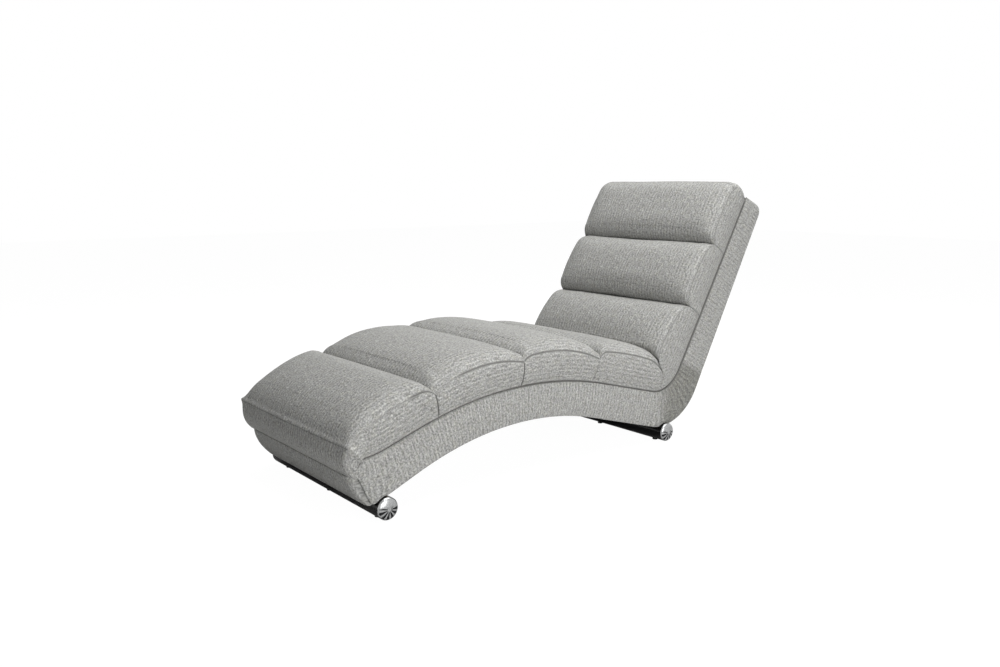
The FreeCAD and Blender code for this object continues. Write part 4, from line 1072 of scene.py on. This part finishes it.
def shell(name, outer, inner, thread, nodes):
    """Closed piece from two sheets of rows that meet at the first and last row and at both sides."""
    rim = (outer + inner) / 2
    for sheet in (outer, inner):
        sheet[[0, -1]] = rim[[0, -1]]
        sheet[:, [0, -1]] = rim[:, [0, -1]]
    grid = np.concatenate([outer, inner[:, ::-1]], axis=1)
    piece = make_piece(name, grid, True, there_and_back(thread))
    finish_piece(piece, weave_finish, nodes, smooth=1)


def nose_cover():
    """Front under the nose: an arc from the lip down to the toe, pushed out by a quarter ellipse across."""
    x = ACROSS * NOSE_HALF
    share = roundness(NOSE_HALF - np.abs(x), NOSE_EDGE_RADIUS)
    z = NOSE_LOW + (NOSE_HIGH - NOSE_LOW) * eased(33)
    up = ((z - z[0]) / (z[-1] - z[0]))[:, None]
    base = front_line(z)[:, :1]
    swell_out = NOSE_BULGE * share * (0.5 + 0.5 * up) + 4 * NOSE_ROUND * (up * (1 - up))
    outer_y = base - swell_out * (0.93 + 0.07 * roundness(np.minimum(up, 1 - up), 0.05))
    inner_y = base + NOSE_DEEP * np.ones_like(share)
    zs, xs = np.meshgrid(z, x, indexing="ij")
    tube = TUBE_CENTRES[0]
    low = tube[1] + np.sqrt(np.maximum(TUBE_ROOM ** 2 - (inner_y - tube[0]) ** 2, 0.0))
    outer = np.stack([xs, outer_y, zs], axis=-1)
    inner = np.stack([xs, inner_y, np.maximum(zs, np.minimum(low, TUBE_RISE))], axis=-1)
    cloth = running_length(outer[len(z) // 2, :, :2])
    thread = plain_thread(zs, cloth - cloth[-1] / 2 + 0.0 * xs)
    shell("nose_cover_padded", outer, inner, thread, ["nose_cover"])


def back_cover():
    """Heel and back: the way round below the frame, from behind the rear tube to the head, 8 mm deep."""
    s_all = np.linspace(0.0, under_length, 4000)
    start = s_all[np.argmax(along(under, s_all)[0][:, 0] > BACK_FROM)]
    s = start + (under_length - 1.0 - start) * eased(200)
    x = ACROSS * BACK_HALF
    edge = np.minimum(BACK_HALF - np.abs(x)[None], np.minimum(s - s[0], s[-1] - s)[:, None])
    round_in = BACK_DEEP / 2 * (1 - roundness(edge, BACK_ROUND))
    s_grid, xs = np.meshgrid(s, x, indexing="ij")
    heights = (round_in - BACK_PUFF * puffed(edge), BACK_DEEP - round_in)
    outer, inner = (in_space(xs, above(under, s_grid, height)) for height in heights)
    shell("back_cover_padded", outer, inner, plain_thread(xs, s_grid), ["back_cover"])


nose_cover()
back_cover()

# %% [markdown]
# ## The dust cloth
# A thin black non-woven cloth is stapled under the arch so that nobody sees the frame. It is one sheet,
# pulled tight, with a slight sag between the sides. A thin box would be as flat as a board, so the sheet
# follows the way round below the frame from tube to tube.

# %% Dust cloth
DUST_SAG = 3.0
DUST_THICK = 0.6
DUST_CLEAR = 0.3
ARCH_TOP = 260.0
ARCH_SHARE = 0.62


def dust_fabric():
    """Spunbond polypropylene, matt black, with the small diamond points where its fibres are pressed."""
    material, tree, shader = new_material("black_spunbond_cloth", **{"Roughness": 0.9})
    place = object_place(tree)
    points = add(tree, "ShaderNodeTexVoronoi", {"Vector": place, "Scale": 1 / 0.004}).outputs["Distance"]
    mixed = maths(tree, "ADD", points, noise(tree, place, 0.0015, 3.0))
    dress(tree, shader, ramp(tree, mixed, (0.3, "101010"), (1.0, "262626")),
          relief=bump(tree, mixed, 0.0004, 0.5))
    return material


def parabola(values):
    """Parabola that is 0 at the first and last value and 1 between them."""
    return 1 - (2 * (values - values[0]) / (values[-1] - values[0]) - 1) ** 2


def dust_cloth():
    """Sheet over the way round below the frame between the tubes, sagging as a double parabola."""
    low, high = (np.array(corner) * 1000 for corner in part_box("underside_cloth"))
    s_all = np.linspace(0.0, under_length, 4000)
    y, z = along(under, s_all)[0].T
    inside = (y > low[1]) & (y < high[1]) & (z < ARCH_TOP) & (s_all < ARCH_SHARE * under_length)
    s = np.linspace(s_all[inside][0], s_all[inside][-1], 90)
    x = np.linspace(low[0] + DUST_CLEAR, high[0] - DUST_CLEAR, 41)
    sag = DUST_SAG * parabola(s)[:, None] * parabola(x)[None]
    s_grid, xs = np.meshgrid(s, x, indexing="ij")
    grid = in_space(xs, above(under, s_grid, 1.0 - sag))
    piece = make_piece("underside_cloth_sheet", grid, False, plain_thread(s_grid, xs))
    thick = piece.modifiers.new("thickness", "SOLIDIFY")
    thick.thickness = DUST_THICK / 1000
    thick.offset = 0.0
    finish_piece(piece, dust_fabric(), ["underside_cloth"])


dust_cloth()

# %% [markdown]
# ## Caps and glides
# The tube ends carry domed chrome caps with a fan of shallow flutes in the lower half, and small black glides
# stand under the tubes. Spheres and cylinders could be joined, but a profile carried round an axis gives rim
# and dome in one closed piece. The flutes are a wave in the dome's height, and a painted dark reflection lies
# in them.

# %% Turned pieces
FLUTES = 11
FLUTE_DEPTH = 0.5
CAP_FACE = 295.0
CAP_RADIUS = 29.5
DOME_RADIUS = 28.6
DOME_FROM = 3.4
DOME_RISE = 8.4
GLIDE_SPACING = 250.0
CAP_PROFILE = np.array((
    (-15.0, 0.0), (-15.0, 26.0), (-14.0, 27.0), (-1.0, 27.2), (0.1, 27.3), (0.1, 29.0), (0.4, 29.4),
    (2.4, 29.5), (3.0, 29.2), (3.4, 28.6)))
GLIDE_PROFILE = np.array((
    (0.0, 0.0), (0.0, 6.8), (0.3, 7.9), (1.2, 8.5), (3.6, 8.5), (4.5, 8.2), (4.8, 7.6), (4.8, 6.8),
    (13.6, 6.8), (14.8, 6.2), (14.8, 0.0)))


def speckled(name, size, detail, shades, rough, relief=None, **inputs):
    """Finish with fine noise of one size: two shades, a span of roughness and a relief (depth, strength)."""
    material, tree, shader = new_material(name, **inputs)
    grain = noise(tree, object_place(tree), size, detail)
    normal = bump(tree, grain, *relief) if relief else None
    colour = ramp(tree, grain, (0.3, shades[0]), (0.7, shades[1]))
    dress(tree, shader, colour, spread(tree, grain, *rough), normal)
    return material


def chrome_plate():
    """Bright chrome plate on a pressed cap: a mirror with faint polishing haze and a painted dark reflection
    in the wedges of its fan's lower half, whose depth comes with the mesh."""
    material, tree, shader = new_material("bright_chrome_plate", **{"Metallic": 1.0})
    dark_reflection = add(tree, "ShaderNodeSeparateXYZ", {0: attribute(tree, "thread")["Vector"]}).outputs[0]
    haze = noise(tree, object_place(tree), 0.006, 3.0)
    dress(tree, shader, ramp(tree, dark_reflection, (0.22, "ACADAD"), (0.50, "2C2C2D")), spread(tree, haze, 0.22, 0.30))
    return material


def black_plastic():
    """Moulded black polyethylene: dull, with a fine spark texture from the mould."""
    return speckled("moulded_black_polyethylene", 0.0008, 2.0, ("121212", "1E1E1E"), (0.42, 0.6),
                    (0.0002, 0.4), IOR=1.5)


def turned(profile, count, wave=None):
    """Profile of (axial, radius) rows carried round the axis, with a wave of the angle on the axial place."""
    angle = np.linspace(0.0, 2 * np.pi, count, endpoint=False)
    radius = np.repeat(profile[:, 1:], count, axis=1)
    axial = np.repeat(profile[:, :1], count, axis=1)
    if wave:
        axial = axial + wave(radius, angle)
    return axial, radius * np.cos(angle), radius * np.sin(angle)


def cap_wave(radius, angle):
    """Fan of flutes: a wave round the dome's lower half that fades towards the rim and the middle."""
    share = np.clip(radius / DOME_RADIUS, 0.0, 1.0)
    lower = np.clip(0.3 - np.sin(angle) * share, 0.0, 0.6) / 0.6
    return -FLUTE_DEPTH * lower * (0.5 + 0.5 * np.cos(FLUTES * angle)) * np.sin(np.pi * share) ** 0.8


def painted_reflection_wedges(y, z):
    """Darkness of the painted reflection in the fan's wedges, 0 to 1, in the first place: a wave of the angle
    in the lower half only.
    """
    angle = np.arctan2(z, y)
    radius = np.hypot(y, z) / CAP_RADIUS
    # painted dark reflection: only the dome's lower half gets dark wedges
    lower = np.clip(0.30 - z / CAP_RADIUS, 0.0, 0.25) / 0.25
    ring = np.clip((radius - 0.12) / 0.10, 0.0, 1.0) * np.clip((0.96 - radius) / 0.05, 0.0, 1.0)
    depth = lower * ring * (0.5 + 0.5 * np.cos(FLUTES * angle))
    return np.stack([1000.0 * depth, 0.0 * depth, 0.0 * depth], axis=-1)


def cap(name, centre, side, material):
    """Domed cap: rim, then a dome that rises as a quarter ellipse."""
    angle = np.linspace(0.0, np.pi / 2, 26)[1:]
    dome = np.stack([DOME_FROM + DOME_RISE * np.sin(angle), DOME_RADIUS * np.cos(angle)], axis=-1)
    parts = zip(turned(CAP_PROFILE, 160), turned(dome, 160, cap_wave))
    axial, y, z = (np.concatenate(pair) for pair in parts)
    grid = np.stack([side * (CAP_FACE + axial), centre[0] + y, centre[1] + z], axis=-1)
    piece = make_piece(name + "_dome", grid, True, painted_reflection_wedges(y, z))
    finish_piece(piece, material, [name])


def glide(name, x, y, material):
    """Round glide with a rolled foot, plugged into the bottom of a tube."""
    axial, across, onward = turned(GLIDE_PROFILE, 40)
    grid = np.stack([x + across, y + onward, axial], axis=-1)
    piece = make_piece(name + "_foot", grid, True, np.zeros(grid.shape))
    finish_piece(piece, material, [name])


chrome = chrome_plate()
plastic = black_plastic()
for end, centre in zip(("front", "rear"), TUBE_CENTRES):
    for hand, side in (("left", -1.0), ("right", 1.0)):
        cap(f"{end}_cap_{hand}", centre, side, chrome)
    for hand, column in (("left", -1), ("middle", 0), ("right", 1)):
        glide(f"{end}_glide_{hand}", GLIDE_SPACING * column, centre[0], plastic)

# %% [markdown]
# ## Finishes of the hard pieces
# The tubes, the wood and the small steel parts keep their solids. Each gets the finish that the real material
# has from its making: powder coat, sawn beech, birch plywood, zinc plate, woven webbing and needle felt. A
# plain colour would do from far away, but noise at the true size of the grain also holds close up.

# %% Tubes, wood, steel, webbing and felt
def black_powder_coat():
    """Gloss black powder coat on steel tube: deep black with a slight orange peel."""
    return speckled("gloss_black_powder_coat", 0.003, 1.0, ("0A0A0B", "121213"), (0.16, 0.26), (0.0001, 0.3),
                    **{"Coat Weight": 0.1, "Coat Roughness": 0.10, "Specular IOR Level": 0.25})


def beech(name, grain):
    """Raw sawn beech: pale pinkish brown, with grain lines and short dark pith flecks along the board."""
    material, tree, shader = new_material(name, **{"Roughness": 0.7})
    lines = stretched(tree, object_place(tree), *grain)
    rings = noise(tree, lines, 1.0, 3.0)
    colour = ramp(tree, rings, (0.3, "B08A62"), (0.55, "C7A27A"), (0.75, "D9B98F"))
    dark = ramp(tree, noise(tree, lines, 0.2, 1.0), (0.30, "A88660"), (0.42, "FFFFFF"))
    dress(tree, shader, mix(tree, 0.6, colour, dark, "MULTIPLY"), relief=bump(tree, rings, 0.0005, 0.4))
    return material


def zinc_plate():
    """Bright zinc plate on steel fasteners: grey metal with a blotchy, slightly rough skin."""
    return speckled("zinc_plated_steel", 0.002, 2.0, ("A5A8AB", "C2C4C6"), (0.28, 0.45), Metallic=1.0)


def elastic_webbing():
    """Woven rubber and polyester strap: brown, with fine ribs along its length and fibres across them."""
    material, tree, shader = new_material("brown_elastic_webbing", **{"Roughness": 0.85})
    place = object_place(tree)
    mixed = maths(tree, "MULTIPLY", ribbed(tree, place, 0.003, "X", 1.0), noise(tree, place, 0.002, 2.0))
    dress(tree, shader, ramp(tree, mixed, (0.1, "3E3026"), (0.6, "6E5844")),
          relief=bump(tree, mixed, 0.0006, 0.6))
    return material


def needle_felt():
    """Pressed fibre felt of mixed waste yarns: grey brown, with paler and darker specks."""
    material, tree, shader = new_material("grey_needle_felt", **{"Roughness": 0.95})
    place = object_place(tree)
    fibres = noise(tree, place, 0.003, 4.0)
    mixed = maths(tree, "ADD", fibres, noise(tree, place, 0.009, 2.0))
    dress(tree, shader, ramp(tree, mixed, (0.7, "5E5A55"), (1.3, "9A948B")),
          relief=bump(tree, fibres, 0.001, 0.6))
    return material


RAILS = ["nose_rail", "calf_rail", "thigh_rail", "seat_rail", "hip_rail", "lumbar_rail", "shoulder_rail",
         "head_rail", "front_foot_plank", "rear_foot_plank"]
finishes = [
    (black_powder_coat(), ["front_tube", "rear_tube"]),
    (beech("sawn_beech_rails", (0.12, 0.006, 0.006)), RAILS),
    (beech("birch_plywood_panels", (0.0015, 0.16, 0.010)), ["side_panel_left", "side_panel_right"]),
    (zinc_plate(), ["frame_screws", "tube_bolts", "tube_washers", "tee_nuts"]),
    (elastic_webbing(), ["seat_webbing", "back_webbing"]),
    (needle_felt(), ["deck_felt"])]
for material, names in finishes:
    for name in names:
        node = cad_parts[name]
        node.data.materials.clear()
        node.data.materials.append(material)
    print(material.name, "on", len(names), "nodes")

# %% [markdown]
# ## Studio
# The lounger stands on a plain white floor in soft light, as in a catalogue picture. A large soft light from
# above makes the tops brightest, one at the near side lights the side band, a weak one behind lifts the back,
# and the front stays in half shade. The floor and the world look white to the camera, and light the object at
# a plain level.

# %% Floor, light and camera
def white_world():
    """White for the camera and for mirrors, a plain grey for lighting."""
    world = bpy.data.worlds.new("white_studio")
    bpy.context.scene.world = world
    tree = bare_tree(world)
    path = add(tree, "ShaderNodeLightPath").outputs
    seen = maths(tree, "MAXIMUM", path["Is Camera Ray"], path["Is Glossy Ray"])
    seen = maths(tree, "MAXIMUM", seen, path["Is Transmission Ray"])
    grey, white = (add(tree, "ShaderNodeBackground", {"Color": WHITE, "Strength": strength}).outputs[0]
                   for strength in (0.10, 1.0))
    mixed = add(tree, "ShaderNodeMixShader", {0: seen, 1: grey, 2: white})
    add(tree, "ShaderNodeOutputWorld", {"Surface": mixed.outputs[0]})


def white_floor():
    """Painted white floor: mostly plain white for the camera, so only the object's shadow shows on it."""
    material = bpy.data.materials.new("white_floor_paint")
    tree = bare_tree(material)
    seen = maths(tree, "MULTIPLY", add(tree, "ShaderNodeLightPath").outputs["Is Camera Ray"], 0.90)
    paint = add(tree, "ShaderNodeBsdfDiffuse", {"Color": hex_colour("E2E2E2")}).outputs[0]
    white = add(tree, "ShaderNodeEmission", {"Color": WHITE, "Strength": 1.09}).outputs[0]
    mixed = add(tree, "ShaderNodeMixShader", {0: seen, 1: paint, 2: white})
    add(tree, "ShaderNodeOutputMaterial", {"Surface": mixed.outputs[0]})
    side = np.linspace(-12.0, 12.0, 3)
    mesh = bpy.data.meshes.new("floor")
    corners = np.stack(np.meshgrid(side, side, [-0.0002], indexing="ij"), axis=-1).reshape(-1, 3)
    mesh.from_pydata(corners.tolist(), [], grid_quads(3, 3, False)[:, ::-1].tolist())
    mesh.materials.append(material)
    floor = link_object("floor", mesh)


def soft_light(name, place, aim, size, power):
    """Square soft light that faces a point."""
    lamp = bpy.data.lights.new(name, "AREA")
    lamp.shape = "SQUARE"
    lamp.size = size
    lamp.energy = power
    light = link_object(name, lamp)
    light.location = place
    light.rotation_euler = (Vector(aim) - Vector(place)).to_track_quat("-Z", "Y").to_euler()
    print(name, "light of", power, "W")


def photo_camera():
    """Camera at the photograph's viewing angle."""
    lens = bpy.data.cameras.new("photo_camera")
    lens.sensor_width = 36.0
    lens.lens = 31.086
    camera = link_object("photo_camera", lens)
    camera.location = (2.050, -1.786, 0.830)
    camera.rotation_euler = (math.radians(80.16), 0.0, math.radians(50.61))
    bpy.context.scene.camera = camera


white_world()
white_floor()
soft_light("overhead", (0.6, 0.3, 3.1), (0.0, 0.0, 0.3), 2.4, 104.0)
soft_light("near_side", (3.3, -0.8, 0.9), (0.2, -0.2, 0.3), 2.0, 65.0)
soft_light("behind", (-2.4, 2.8, 1.2), (0.0, 0.3, 0.4), 2.0, 36.0)
photo_camera()
bpy.context.scene.view_settings.view_transform = "Standard"
